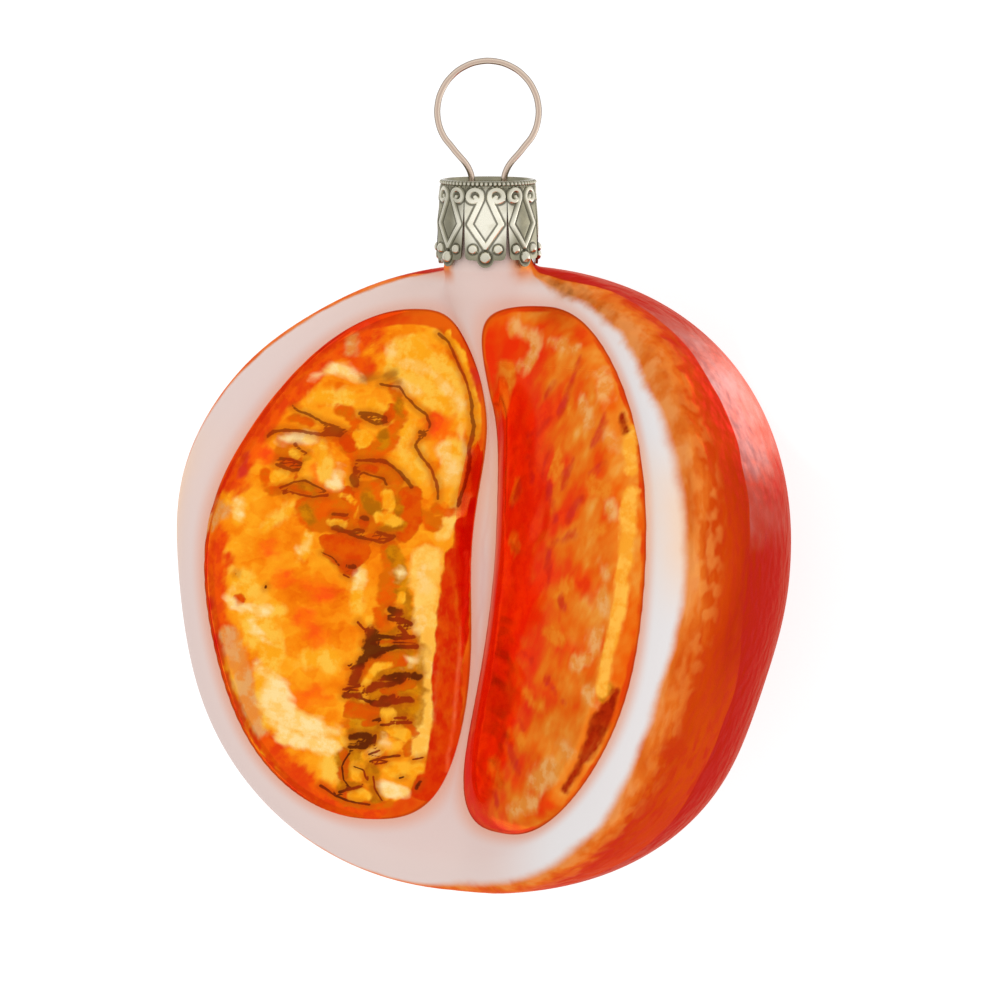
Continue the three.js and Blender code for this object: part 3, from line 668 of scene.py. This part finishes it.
def add(kind, *inputs, stops=(), output=None, **settings):
    """Adds a node to the tree in hand; gives its first live output, or the one that is named.

    Inputs are values, hex colours or other nodes' outputs, in the order of the node's live
    sockets, or by name in a dict. An output in a tuple with two places stands for a soft step
    from 0 at the first to 1 at the second, or between the two values after them. Inputs that
    the node has no socket for go to further nodes of its kind, so one call can add up many.
    """
    steps = [isinstance(given, tuple) and isinstance(given[0], bpy.types.NodeSocket) for given in inputs]
    inputs = [add("MapRange", *given, **SMOOTH) if step else given for step, given in zip(steps, inputs)]
    made = tree.nodes.new("ShaderNode" + kind)
    for name, value in settings.items():
        setattr(made, name, value)
    for i, (place, tone) in enumerate(stops):
        elements = made.color_ramp.elements
        element = elements[i] if i < 2 else elements.new(place)
        element.position, element.color = place, linear(tone)
    sockets = [socket for socket in made.inputs if socket.enabled]
    pairs = zip(sockets, inputs)
    if inputs and isinstance(inputs[0], dict):
        pairs = [(made.inputs[name], value) for name, value in inputs[0].items()]
    for socket, value in pairs:
        if isinstance(value, bpy.types.NodeSocket):
            tree.links.new(value, socket)
        else:
            socket.default_value = linear(value) if isinstance(value, str) else value
    results = [socket for socket in made.outputs if socket.enabled and output in (None, socket.name)]
    result = results[0] if results else None
    further = inputs[len(sockets) :]
    return add(kind, result, *further, **settings) if further else result


# settings that many nodes share
SMOOTH = {"interpolation_type": "SMOOTHSTEP"}
COLOUR = {"data_type": "RGBA"}
PLUS, MINUS, TIMES = {"operation": "ADD"}, {"operation": "SUBTRACT"}, {"operation": "MULTIPLY"}
MOST, SCALED = {"operation": "MAXIMUM"}, {"operation": "MULTIPLY_ADD"}
APART, ALONG = {"operation": "DISTANCE"}, {"operation": "DOT_PRODUCT"}

# Lacquered, silvered blown glass: transparent lacquers brushed over bright silver on the
# pulp, which mirrors the room in yellow and orange; thick matt white on the pith; on the
# rind sprayed orange in front of the mould's seam, and red satin lacquer behind it.
glass = bpy.data.materials.new("blown_glass_silvered_and_lacquered")
tree = emptied(glass)
millimetres = add("VectorMath", add("TexCoord", output="Object"), 1 / MM, operation="SCALE")
x_mm, y_mm, z_mm = [add("SeparateXYZ", millimetres, output=axis) for axis in "XYZ"]
depth = add("Attribute", attribute_name="pulp_depth", output="Fac")
across = add("Attribute", attribute_name="pulp_across", output="Fac")
reach = add("Attribute", attribute_name="cut_reach", output="Fac")


def noise(seed, size, turn=0.0, stretch=1.0, detail=2.0, rough=0.5, output="Fac"):
    """Noise with blotches of this size in mm; strokes are stretch times as long, turned in degrees."""
    turned = add("Mapping", millimetres, (0, 0, 0), (0, 0, math.radians(-turn)))
    sizes = (1 / size / stretch, 1 / size, 1 / size)
    scaled = add("Mapping", turned, (seed, seed, seed), (0, 0, 0), sizes)
    return add("TexNoise", scaled, 1.0, detail, rough, output=output)


def unsettled(value, *swings):
    """A value with noises added to it, each swinging evenly about 0 by half its height."""
    for given, height in swings:
        value = add("Math", value, add("Math", given, height, -height / 2, **SCALED), **PLUS)
    return value


def inside(value, low, high, soft):
    """1 from low to high, with soft edges."""
    return add("Math", (value, low - soft, low + soft), (value, high + soft, high - soft), **TIMES)


def coated(base, *coats):
    """A colour under coats of others, each laid on by its share."""
    for share, tone in coats:
        base = add("Mix", share, base, tone, **COLOUR)
    return base


# strokes on the rind, with the unsteady edges that wet lacquer leaves
BRUSH_WANDER = 5.5
wander = add(
    "VectorMath", noise(2, 3.2, rough=0.55, output="Color"), (BRUSH_WANDER, BRUSH_WANDER, 0),
    (-BRUSH_WANDER / 2, -BRUSH_WANDER / 2, 0), **SCALED,
)
unsteady = add("VectorMath", add("CombineXYZ", x_mm, y_mm), wander, **PLUS)


def stroke(begin, end, half, soft):
    """One stroke: 1 within half a brush's width of the line between two places in mm."""
    way = Vector((*end, 0)) - Vector((*begin, 0))
    off = add("VectorMath", unsteady, (*begin, 0), **MINUS)
    share = add("Clamp", add("VectorMath", off, way / way.length_squared, **ALONG))
    gap = add("VectorMath", off, add("VectorMath", way, share, operation="SCALE"), **APART)
    return add("MapRange", gap, half + soft, half - soft, **SMOOTH)


# pulp, left segment: golden yellow, mottled with thin coats of orange
mottle = noise(3, 4.4, 20, 1.4, 3.0, 0.55)
fleck = noise(11, 1.6, detail=3.0, rough=0.6)
MIDDLE_GLAZE = 0.49
glaze = add(
    "Math", MIDDLE_GLAZE, (noise(43, 3.4, 30, 1.6, 3.0), 0.49, 0.55, 0, 0.05),
    (noise(47, 2.2, -20, 1.5, 3.0), 0.47, 0.53, 0, 0.04), **PLUS,
)
left_pulp = add("ValToRGB", unsettled(glaze, (mottle, 0.4), (fleck, 0.14)), stops=(
    (0.26, "#FFD684"), (0.36, "#FFBE44"), (0.46, "#FFA41C"), (0.56, "#FA860C"), (0.66, "#EA6204"),
    (0.78, "#CC4204"),
))

# pulp, right segment: red-orange by the membrane and orange outside it, brushed steeply
brushed = noise(9, 2.1, 62, 1.6)
patches = noise(13, 4.2, 75, 1.4)
outwards = unsettled(across, (noise(29, 4.0), 0.7))
glaze = add("Math", MIDDLE_GLAZE, (outwards, 0.4, -0.4, 0, 0.16), **PLUS)
right_pulp = add("ValToRGB", unsettled(glaze, (brushed, 0.34), (patches, 0.5)), stops=(
    (0.34, "#F2AC5C"), (0.40, "#F09838"), (0.46, "#EE8020"), (0.54, "#EC660C"), (0.62, "#EC4806"),
    (0.72, "#EC3004"),
))
on_right = add("MapRange", x_mm, -0.5, 0.5, **SMOOTH)
on_left = add("MapRange", x_mm, 0.5, -0.5, **SMOOTH)

# the border of each segment is one wet line of red-orange, wider at the left one's ends; then
# come the coats of brushwork, and the dark lines of painted reflection with a warm painted halo round
# them
BORDER = 0.5
LEFT_BORDER_WIDER = 0.2
at_ends = add("Math", (y_mm, 16, 25), (y_mm, -20, -25), **MOST)
wider = add("Math", at_ends, LEFT_BORDER_WIDER, **PLUS)
border = unsettled(add("Math", wider, on_left, BORDER, **SCALED), (mottle, 1.0))
in_border = add("Math", border, depth, **MINUS)
pulp = coated(
    left_pulp,
    (on_right, right_pulp),
    ((in_border, -0.1, 0.2), coated("#E8600C", ((mottle, 0.4, 0.62), "#E04008"))),
    ((depth, 0.3, 0.1, 0, 0.6), "#A83408"),
)
BRISTLE_SIZE = 0.8
BRISTLE_LENGTH = 2.2
FRAY = 2.4
THINNEST, THICKEST = 0.7, 1.3
CRISP = 0.17
WET_EDGE = 0.9
flecked = add("MapRange", fleck, 0.4, 0.6, **SMOOTH)
for number, (tone, other_tone, strength, soft, ragged, lean, _) in enumerate(BRUSHWORK):
    ways = add("Attribute", attribute_name=f"coat_{number}", output="Vector")
    gap = add("SeparateXYZ", ways, output="Z")
    bristles = noise(70 + number, BRISTLE_SIZE + ragged, lean, BRISTLE_LENGTH, rough=0.6)
    share = add("MapRange", unsettled(gap, (bristles, FRAY * ragged)), soft, -soft, **SMOOTH)
    thick = add("Math", share, add("Mix", bristles, THICKEST * strength, THINNEST * strength), **TIMES)
    pulp = coated(pulp, (thick, coated(tone, (flecked, other_tone))))
    if soft < CRISP:
        wet_edge = add("Math", share, add("Math", 1, share, **MINUS), WET_EDGE, **TIMES)
        pulp = coated(pulp, (wet_edge, "#B04004"))
# painted reflection: the dark lines, and a warm painted halo round them
ways = add("Attribute", attribute_name="painted_reflection_lines", output="Vector")
beside_painted_reflection = add("SeparateXYZ", ways, output="Z")
across_painted_reflection = add("VectorMath", add("VectorMath", ways, (1, 1, 0), **TIMES), operation="LENGTH")
grained = unsettled(across_painted_reflection, (noise(90, 0.5), 1.2), (fleck, 0.9))
upper = add("MapRange", y_mm, -3, 2, **SMOOTH)
painted_reflection_strength = add("Mix", upper, 0.92, 0.8)
in_painted_reflection = add("Math", (grained, 1.35, 0.65), (beside_painted_reflection, 0.22, 0.1), painted_reflection_strength, **TIMES)
painted_reflection_tone = coated("#581C08", (upper, "#7C300A"), ((mottle, 0.42, 0.58), "#94280A"))
pulp = coated(
    pulp,
    ((unsettled(beside_painted_reflection, (fleck, 0.5)), 0.7, 0.05, 0, 0.42), "#B4480A"),
    (in_painted_reflection, painted_reflection_tone),
)

# rind: where the spray begins and how far back it runs. Painted highlights in gold on the peel's
# bumps and in pink high on the front, orange in two tones up to the mould's seam, and clear red
# behind it, with a pale pink painted sheen high on it
SAG, LEFT_SAG, RIM_LINE = -2.1, -1.3, -0.5
SEAM_HEIGHT = AXIS_HEIGHT + 2
SEAM_LEAN = 0.11
SEAM_SAG = 3
SPRAY_REACH = 16
dents = noise(41, 1.5, 70, 1.2, 1.0, 0.4)
streaks = noise(31, 2.6, 84, 4.2, 3.0, 0.55)
sag = add("Math", (y_mm, 24, -4, 0, SAG), (y_mm, -46, -20), **TIMES)
rim_line = add("Math", sag, RIM_LINE, (x_mm, 2, -8, 0, LEFT_SAG), **PLUS)
back = unsettled(add("Math", rim_line, reach, **MINUS), (fleck, 0.3), (mottle, 0.9))
sprayed = add("Math", unsettled(back, (streaks, 8.0), (dents, 1.2)), SPRAY_REACH, operation="DIVIDE")
orange = add("ValToRGB", sprayed, stops=(
    (0.0, "#E28C48"), (0.08, "#D86C20"), (0.2, "#C84806"), (0.38, "#C03A02"), (0.58, "#B43002"),
    (0.74, "#C04002"),
))
bump_highlight_by_middle = add("Mix", inside(y_mm, -4, 14, 4), 0.25, 0.4)
blotches = add("Mix", mottle, 0.4, 1.3)
dabs = noise(61, 1.8, 42, 3.2, 3.0)
orange = coated(
    orange,
    # painted highlights in gold on the peel's bumps, strongest in the middle
    (add("Math", (dents, 0.4, 0.66), inside(back, 0.8, 5, 1.4), bump_highlight_by_middle, **TIMES), "#F0A450"),
    # a pink painted highlight high on the front of the rind
    (add("Math", stroke((17, 26), (26, 12), 2.5, 3.5), (back, 3, 6, 0, 0.45), **TIMES), "#E89078"),
    (add("Math", (y_mm, -6, -18), (back, 4, 8), blotches, **TIMES), "#CA4C04"),
    (add("Math", (dabs, 0.5, 0.62, 0, 0.5), (y_mm, -12, -20), (back, 1, 3), **TIMES), "#BE2C14"),
)
seam = add("Math", y_mm, SEAM_LEAN, z_mm, **SCALED)
seam = add("Math", seam, (y_mm, -3, -14, 0, SEAM_SAG), **PLUS)
seam = unsettled(seam, (noise(23, 9.0), 2.0))
behind = add("MapRange", seam, SEAM_HEIGHT + 0.12, SEAM_HEIGHT - 0.12, **SMOOTH)
# a pale pink painted sheen high on the red satin behind the seam, where less of the silver shows
lower_painted_sheen = add("Math", stroke((34, 12), (34.2, 6), 1, 4), 0.3, **TIMES)
painted_sheen = add("Math", stroke((23, 31), (33, 14.5), 1.5, 5.5), lower_painted_sheen, **MOST)
painted_sheen = add("Math", painted_sheen, (seam, SEAM_HEIGHT - 22, SEAM_HEIGHT - 11, 0, 0.9), **TIMES)
rind = coated(orange, (behind, coated("#B02A06", (painted_sheen, "#C6A8AA"))))

# pith: matt white, painted whiter and lighter on the right where the light falls, with a breath of
# orange along the pulp, which also paints the soft shadow there, and by the rind, and soft folds
# in the membrane
FOLD_SHARE, PEACH_SHARE = 0.35, 0.7
folded = inside(unsettled(x_mm, (noise(37, 6.0), 2.4)), 0.1, 0.5, 0.35)
pith = coated(
    "#DFCBC5",
    # painted light: whiter and lighter on the right half-face, where the light falls
    ((x_mm, 4, 16), "#E2DFDF"),
    # a breath of orange along the pulp, which is also its painted shadow
    ((depth, -1.8, 0.1), "#E2B09C"),
    ((y_mm, 20, 30, 0, 0.5), "#E0C6BC"),
    (add("Math", folded, inside(y_mm, -20, 12, 4), FOLD_SHARE, **TIMES), "#D8A090"),
    (add("Math", (back, -3.5, -0.3, 0, PEACH_SHARE), inside(y_mm, 0, 12, 5), **TIMES), "#F4CCA8"),
)

# the three together: the spray's edge is crisper near the neck, and the neck's back is rind too
NECK_FRONT = 0.78
NECK_TURN = 0.38
into_rind = add("Math", add("Math", back, 0.15, **PLUS), (y_mm, 14, 24, 1, 2.2), **TIMES)
round_stem = add("Math", x_mm, add("Math", z_mm, AXIS_HEIGHT, **MINUS), operation="ARCTAN2")
off_front = unsettled(add("Math", round_stem, NECK_TURN, **MINUS), (mottle, 0.5))
off_front = add("Math", off_front, operation="ABSOLUTE")
on_neck = add("Math", (off_front, NECK_FRONT - 0.15, NECK_FRONT + 0.25), (y_mm, 30.5, 33), **TIMES)
rind_share = add("Math", (into_rind, -0.65, 0.65), on_neck, **MOST)
pulp_share = add("MapRange", depth, -0.05, 0.05, **SMOOTH)

# how rough each finish is, and how much of the silver's mirror shows through it
PITH_ROUGH, ORANGE_ROUGH, RED_ROUGH = 0.6, 0.45, 0.36
LEFT_ROUGH, RIGHT_ROUGH, ROUGHER_BY_CAP = 0.05, 0.14, 0.32
RIND_SILVER, PAINTED_SHEEN_SILVER, LEFT_SILVER, RIGHT_SILVER = 0.86, 0.1, 0.88, 0.7
DIMPLE_DEPTH = 0.6 * MM
right_rough = add("Math", RIGHT_ROUGH, (y_mm, 20, 25, 0, ROUGHER_BY_CAP), **PLUS)
pulp_rough = add("Mix", on_right, LEFT_ROUGH, right_rough)
satin = add("Mix", rind_share, PITH_ROUGH, add("Mix", behind, ORANGE_ROUGH, RED_ROUGH))
rind_silver = add("Mix", add("Math", behind, painted_sheen, **TIMES), RIND_SILVER, PAINTED_SHEEN_SILVER)
rind_silver = add("Math", rind_share, rind_silver, **TIMES)
dimples = add("Math", dents, rind_share, (depth, 0.05, -0.05), **TIMES)
add("OutputMaterial", add("BsdfPrincipled", {
    "Base Color": coated(pith, (rind_share, rind), (pulp_share, pulp)),
    "Roughness": add("Mix", pulp_share, satin, pulp_rough),
    "Metallic": add("Mix", pulp_share, rind_silver, add("Mix", on_right, LEFT_SILVER, RIGHT_SILVER)),
    "Normal": add("Bump", {"Height": dimples, "Strength": 0.5, "Distance": DIMPLE_DEPTH}),
    "Specular IOR Level": 0.3, "Specular Tint": "#FF956C",
}))
glass_mesh.materials.append(glass)


# ---------------------------------------------------------------- crown cap
# A cap of thin plated sheet, pressed in one stroke and slipped over the glass neck. Pearls
# run round its sunk top. Seven slotted tabs grip the neck, each with a pair of scrolls that
# meet in a lozenge, and three beads over its tongue.
TABS = 7
CAP_TURN = math.radians(26.6)
CAP_TOP = 42.4
CAP_RADIUS = 5.13
CAP_FLARE = 0.056
TAB_FLATNESS = 0.55
SHEET = 0.3
TAB_TOP = 41.95
HEM = 33.75
HEM_CORNER = 0.5
TONGUE_HEIGHT = 33.9
TONGUE_RADIUS = 0.95
SLOT_HEIGHTS = (33.7, 39.1, 41.6)
SLOT_HALVES = (0.27, 0.06, 0.02)
TAB_COLUMNS = 44
TAB_ROWS = 84
PLATE_GAP = 10

LOZENGE_BOTTOM = 35.15
LOZENGE_CORNER = (1.78, 37.7)
CURL_CENTRE = (1.2, 40.75)
CURL_RADIUS = 0.78
CURL_FROM, CURL_TO = 205, -130
CURL_TIGHTER = 0.5
BAND_HALF = 0.28
BAND_HEIGHT = 0.17
BAND_GROOVE = 0.45
BEAD_DOME = 0.75
BEAD_GROOVE = 0.4
# beads: across, height, radius
BEADS = (
    (0, 34.05, 0.66), (1.4, 34.95, 0.52), (-1.4, 34.95, 0.52), (1.17, 40.72, 0.24), (-1.17, 40.72, 0.24),
)


def cap_radius(height):
    return CAP_RADIUS + CAP_FLARE * (CAP_TOP - height)


def tab_relief(across, height):
    """How far the pressed pattern stands out of the sheet."""
    turn = np.radians(np.linspace(CURL_FROM, CURL_TO, 40))
    shrink = CURL_RADIUS * (1 - CURL_TIGHTER * smooth(-turn, 0, math.radians(-CURL_TO)))
    curl = zip(CURL_CENTRE[0] + shrink * np.cos(turn), CURL_CENTRE[1] + shrink * np.sin(turn))
    line = (BAND_HALF, (0, LOZENGE_BOTTOM), LOZENGE_CORNER, *curl)
    off = to_strokes([line], np.abs(across), height)[:, 2] / BAND_HALF + 1
    relief = BAND_HEIGHT * (np.clip(1 - off**4, 0, 1) - BAND_GROOVE * hump(off, 1.4, 0.35))
    for bead_across, bead_height, bead_radius in BEADS:
        from_bead = np.hypot(across - bead_across, height - bead_height) / bead_radius
        dome = BEAD_DOME * bead_radius * np.sqrt(np.clip(1 - from_bead**2, 0, 1))
        round_bead = relief - BEAD_GROOVE * BAND_HEIGHT * hump(from_bead, 1.1, 0.2)
        relief = np.where(from_bead < 1, np.maximum(relief, dome), round_bead)
    return relief


def shift(pieces, geom, way):
    """Moves the vertices among these elements of a bmesh."""
    verts = [part for part in geom if isinstance(part, bmesh.types.BMVert)]
    bmesh.ops.translate(pieces, verts=verts, vec=way)


cap = bmesh.new()
bmesh.ops.create_grid(cap, x_segments=TAB_COLUMNS, y_segments=TAB_ROWS, size=1)
lifted = bmesh.ops.extrude_face_region(cap, geom=cap.faces[:])["geom"]
shift(cap, lifted, (0, 0, 1))
bmesh.ops.recalc_face_normals(cap, faces=cap.faces)
plate = cap.faces[:] + cap.edges[:] + cap.verts[:]
for _ in range(TABS - 1):
    plate = bmesh.ops.duplicate(cap, geom=plate)["geom"]
    shift(cap, plate, (0, 0, PLATE_GAP))
cap_mesh = bpy.data.meshes.new("crown_cap_pressed")
cap.to_mesh(cap_mesh)
cap.free()

flat_tab = places(cap_mesh)
number = np.floor(flat_tab[:, 2] / PLATE_GAP + 0.5)
outer = flat_tab[:, 2] - PLATE_GAP * number > 0.5
share = (flat_tab[:, 1] + 1) / 2
hem_half = math.pi / TABS * cap_radius(HEM) - SLOT_HALVES[0]
hem_across = flat_tab[:, 0] * hem_half
corner = np.maximum(np.abs(hem_across) - hem_half + HEM_CORNER, 0)
hem = HEM + HEM_CORNER - np.sqrt(HEM_CORNER**2 - corner**2)
tongue = TONGUE_HEIGHT - np.sqrt(np.maximum(TONGUE_RADIUS**2 - hem_across**2, 0))
hem = np.where(np.abs(hem_across) < TONGUE_RADIUS, np.minimum(hem, tongue), hem)
height = hem + (TAB_TOP - hem) * share
tab_half = math.pi / TABS * cap_radius(height) - np.interp(height, SLOT_HEIGHTS, SLOT_HALVES)
across = flat_tab[:, 0] * tab_half
relief = tab_relief(across, height)
angle = across / cap_radius(height)
bulge = math.cos(0.58 * math.pi / TABS) / np.cos(angle) - 1
flatter = 1 + TAB_FLATNESS * bulge * smooth(height, TAB_TOP, TAB_TOP - 2)
sheet_radius = cap_radius(height) * flatter + np.where(outer, relief, -SHEET)
angle = angle + CAP_TURN + number * math.tau / TABS
placed = np.stack([
    sheet_radius * np.sin(angle), height, sheet_radius * np.cos(angle) + AXIS_HEIGHT,
], -1) * MM
cap_mesh.vertices.foreach_set("co", placed.ravel())
keep(cap_mesh, "relief", np.where(outer, relief, 0))
cap_mesh.update()

# the rim: one spun ring, its outside modelled into two rows of pearls
PEARLS = 66
PEARL_COLUMNS = 8
PEARL_ROWS = ((42.12, 0.23, 0.0), (41.78, 0.13, 0.5))
PEARL_DIP = 0.06
rim_outline = [(4.78, 41.62), (4.78, 42.32), (4.84, CAP_TOP), (5.04, CAP_TOP), (5.12, 42.36)]
rim_outline += [(5.14, y) for y in np.linspace(42.32, 41.68, 17)] + [(5.05, 41.62)]
rim = spun(rim_outline, PEARLS * PEARL_COLUMNS, closed=True)
bmesh.ops.recalc_face_normals(rim, faces=rim.faces)
rim_relief = rim.verts.layers.float.new("relief")
for vert in rim.verts:
    out = math.hypot(vert.co.x, vert.co.z)
    if out > CAP_RADIUS:
        vert[rim_relief] = -PEARL_DIP
        turn = math.atan2(vert.co.x, vert.co.z) / math.tau * PEARLS
        for row_height, pearl_radius, offset in PEARL_ROWS:
            sideways = (turn + offset - round(turn + offset)) * math.tau * out / PEARLS
            rest = pearl_radius**2 - sideways**2 - (vert.co.y - row_height) ** 2
            if rest > 0:
                vert.co *= Vector((1 + math.sqrt(rest) / out, 1, 1 + math.sqrt(rest) / out))
                vert[rim_relief] = math.sqrt(rest) - PEARL_DIP

# the sunk disc, with its two holes for the wire's legs: radius, place and sides of each circle
DISC_DROP = 0.45
LEG_ACROSS = 1.9
DISC_CIRCLES = ((4.9, 0, 96), (0.75, LEG_ACROSS, 32), (0.75, -LEG_ACROSS, 32))
HANGER_TURN = math.radians(29.5)
disc = bmesh.new()
for circle_radius, circle_across, sides in DISC_CIRCLES:
    circle = bmesh.ops.create_circle(disc, segments=sides, radius=circle_radius)["verts"]
    shift(disc, circle, (circle_across, 0, 0))
bmesh.ops.triangle_fill(disc, edges=disc.edges, use_beauty=True, use_dissolve=False)
sunk = bmesh.ops.extrude_face_region(disc, geom=disc.faces[:])["geom"]
shift(disc, sunk, (0, 0, SHEET))
bmesh.ops.recalc_face_normals(disc, faces=disc.faces)
stand = Matrix.Rotation(HANGER_TURN, 4, "Y") @ Matrix.Rotation(math.radians(-90), 4, "X")
stand = Matrix.Translation((0, CAP_TOP - DISC_DROP - SHEET, 0)) @ stand
bmesh.ops.transform(disc, matrix=stand, verts=disc.verts)

to_frame = Matrix.Scale(MM, 4) @ Matrix.Translation((0, 0, AXIS_HEIGHT))
whole = bmesh.new()
whole.from_mesh(cap_mesh)
for part in (rim, disc):
    bmesh.ops.transform(part, matrix=to_frame, verts=part.verts)
    extra = bpy.data.meshes.new("extra")
    part.to_mesh(extra)
    part.free()
    whole.from_mesh(extra)
    bpy.data.meshes.remove(extra)
whole.to_mesh(cap_mesh)
whole.free()
cap_mesh.polygons.foreach_set("use_smooth", [True] * len(cap_mesh.polygons))
cap_mesh.set_sharp_from_angle(angle=math.radians(40))
pressed_cap = in_scene("pressed_cap", cap_mesh)
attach(pressed_cap, "root")
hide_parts("crown_cap")

# Bright tin plate with a warm tone, and painted light on it: a painted reflection that makes the
# front tab bright and both sides duller, painted highlights on the raised lines, and painted shade
# in the grooves beside them.
REFLECTION_HEIGHT = 38
REFLECTION_CENTRE = Vector((
    math.sin(CAP_TURN) * CAP_RADIUS, REFLECTION_HEIGHT, AXIS_HEIGHT + math.cos(CAP_TURN) * CAP_RADIUS,
))
SMEAR_SIZE = 1.2 * MM
tin = bpy.data.materials.new("tin_plate_pressed")
tree = emptied(tin)
lift = add("Attribute", attribute_name="relief", output="Fac")
place = add("TexCoord", output="Object")
smear = add("TexNoise", place, 1 / SMEAR_SIZE, 2.0)
groove_shade = add("MapRange", lift, 0.01, -0.05, **SMOOTH)
from_reflection_centre = add("VectorMath", place, REFLECTION_CENTRE * MM, **APART)
metal = coated(
    "#FCF8E6",
    # painted reflection: bright on the front tab, duller to both sides
    ((from_reflection_centre, 1.8 * MM, 4.4 * MM), "#8A8672"),
    ((smear, 0.45, 0.7, 0, 0.25), "#B8B090"),
    # painted highlight on the raised lines
    ((lift, 0.06, 0.16, 0, 0.45), "#FBF6E4"),
    # painted shade in the grooves beside the raised lines
    (add("Math", groove_shade, 0.85, **TIMES), "#4A4530"),
)
add("OutputMaterial", add("BsdfPrincipled", {
    "Base Color": metal, "Metallic": add("Math", groove_shade, -0.75, 1, **SCALED),
    "Roughness": add("Math", smear, 0.12, 0.16, **SCALED),
}))
cap_mesh.materials.append(tin)


# ---------------------------------------------------------------- wire hanger
# One length of plated spring wire bent into a round loop. Its two legs go down through the
# cap's holes and spread inside the neck, and that holds cap and loop on the glass.
WIRE_RADIUS = 0.35
LEG = ((2.8, 36), (2.26, 39.2), (LEG_ACROSS, CAP_TOP - 1), (LEG_ACROSS, CAP_TOP + 0.6))
LOOP_RADIUS = 5.6
LOOP_HEIGHT = 49.85
LOOP_GAP = 44
LOOP_PLACES = 16
bends = np.radians(np.linspace(LOOP_GAP, 360 - LOOP_GAP, LOOP_PLACES))
loop = [(-LOOP_RADIUS * math.sin(bend), LOOP_HEIGHT - LOOP_RADIUS * math.cos(bend)) for bend in bends]
route = [(-u, v) for u, v in LEG] + loop + list(LEG[::-1])
wire_curve = bpy.data.curves.new("wire", "CURVE")
wire_curve.dimensions = "3D"
spline = wire_curve.splines.new("BEZIER")
spline.bezier_points.add(len(route) - 1)
for point, (u, v) in zip(spline.bezier_points, route):
    point.co = Vector((u * math.cos(HANGER_TURN), v, -u * math.sin(HANGER_TURN) + AXIS_HEIGHT)) * MM
    point.handle_left_type = point.handle_right_type = "AUTO"
wire_curve.resolution_u = 8
wire_curve.bevel_depth = WIRE_RADIUS * MM
wire_curve.bevel_resolution = 5
wire_curve.use_fill_caps = True
bent_wire = bpy.data.objects.new("bent_wire", wire_curve)
hanger_mesh = bpy.data.meshes.new_from_object(bent_wire)
bpy.data.objects.remove(bent_wire)
bpy.data.curves.remove(wire_curve)
hanger_mesh.name = "hanger"
# painted light: how squarely each face looks out of the loop's front, kept as worn, sets the painted
# highlight and painted shade
loop_front = (math.sin(HANGER_TURN), 0, math.cos(HANGER_TURN))
keep(hanger_mesh, "worn", np.abs(places(hanger_mesh, "normal") @ loop_front))
hanger_mesh.polygons.foreach_set("use_smooth", [True] * len(hanger_mesh.polygons))
hanger = in_scene("hanger", hanger_mesh)
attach(hanger, "root")
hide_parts("hanger_wire")

# Nickel-plated steel wire, drawn through a die, with painted light: a painted highlight on the
# loop's front and back, and painted shade, with a champagne tone, round its sides.
nickel = bpy.data.materials.new("steel_wire_nickel_plated")
tree = emptied(nickel)
worn = add("Attribute", attribute_name="worn", output="Fac")
smear = add("TexNoise", add("TexCoord", output="Object"), 1 / (1.5 * MM), 2.0)
# painted shade round the wire's sides, painted highlight on its front and back
tone = coated(
    "#66564A",
    ((worn, 0.35, 0.8), "#DCC8B6"),
    ((worn, 0.9, 0.99), "#C4AC9C"),
)
add("OutputMaterial", add("BsdfPrincipled", {
    "Base Color": tone, "Metallic": 1.0, "Roughness": add("Math", smear, 0.15, 0.12, **SCALED),
}))
hanger_mesh.materials.append(nickel)


# ---------------------------------------------------------------- studio
# A light table in a white tent. Its lamps shine through the table's top, most of all through
# the place beyond the cap, and the tent is evenly bright, a little brighter before the cut.
FLOOR_SIZE = 6.0
GLOW_PLACE = Vector((34, 26, 0))
GLOW_RADIUS = 21
GLOW, LAMP_GLOW = 0.8, 3.2
WALL_LIGHT, TOP_LIGHT, FRONT_LIGHT = 0.8, 0.9, 1.0
floor_mesh = bmesh.new()
bmesh.ops.create_grid(floor_mesh, x_segments=1, y_segments=1, size=FLOOR_SIZE / 2)
floor_data = bpy.data.meshes.new("table")
floor_mesh.to_mesh(floor_data)
floor_mesh.free()
table = in_scene("table", floor_data)

# opal acrylic over lamps: matt white, glowing
acrylic = bpy.data.materials.new("opal_acrylic_lit_from_below")
tree = emptied(acrylic)
from_lamp = add("VectorMath", add("TexCoord", output="Object"), GLOW_PLACE * MM, **APART)
add("OutputMaterial", add("BsdfPrincipled", {
    "Base Color": "#A0A0A0", "Roughness": 0.8, "Emission Color": "#FFFFFF",
    "Emission Strength": add("MapRange", from_lamp, GLOW_RADIUS * MM, 0, GLOW, LAMP_GLOW, **SMOOTH),
}))
floor_data.materials.append(acrylic)

world = bpy.data.worlds.new("light_tent")
bpy.context.scene.world = world
tree = emptied(world)
direction = add("TexCoord", output="Generated")
upwards = add("VectorMath", direction, camera_up, **ALONG)
forwards = add("VectorMath", direction, to_camera, **ALONG)
brightness = add("Mix", (forwards, 0, 0.2), (upwards, 0, 0.05, WALL_LIGHT, TOP_LIGHT), FRONT_LIGHT)
add("OutputWorld", add("Background", "#FFFFFF", brightness))

key = bpy.data.lights.new("softbox", "AREA")
key.energy = 0.5
key.size = 0.5
softbox = in_scene("softbox", key)
softbox.location = (0.35, 0.45, 0.75)
softbox.rotation_euler = softbox.location.to_track_quat("Z", "Y").to_euler()
softbox.visible_glossy = False

bpy.context.scene.view_settings.view_transform = "Standard"
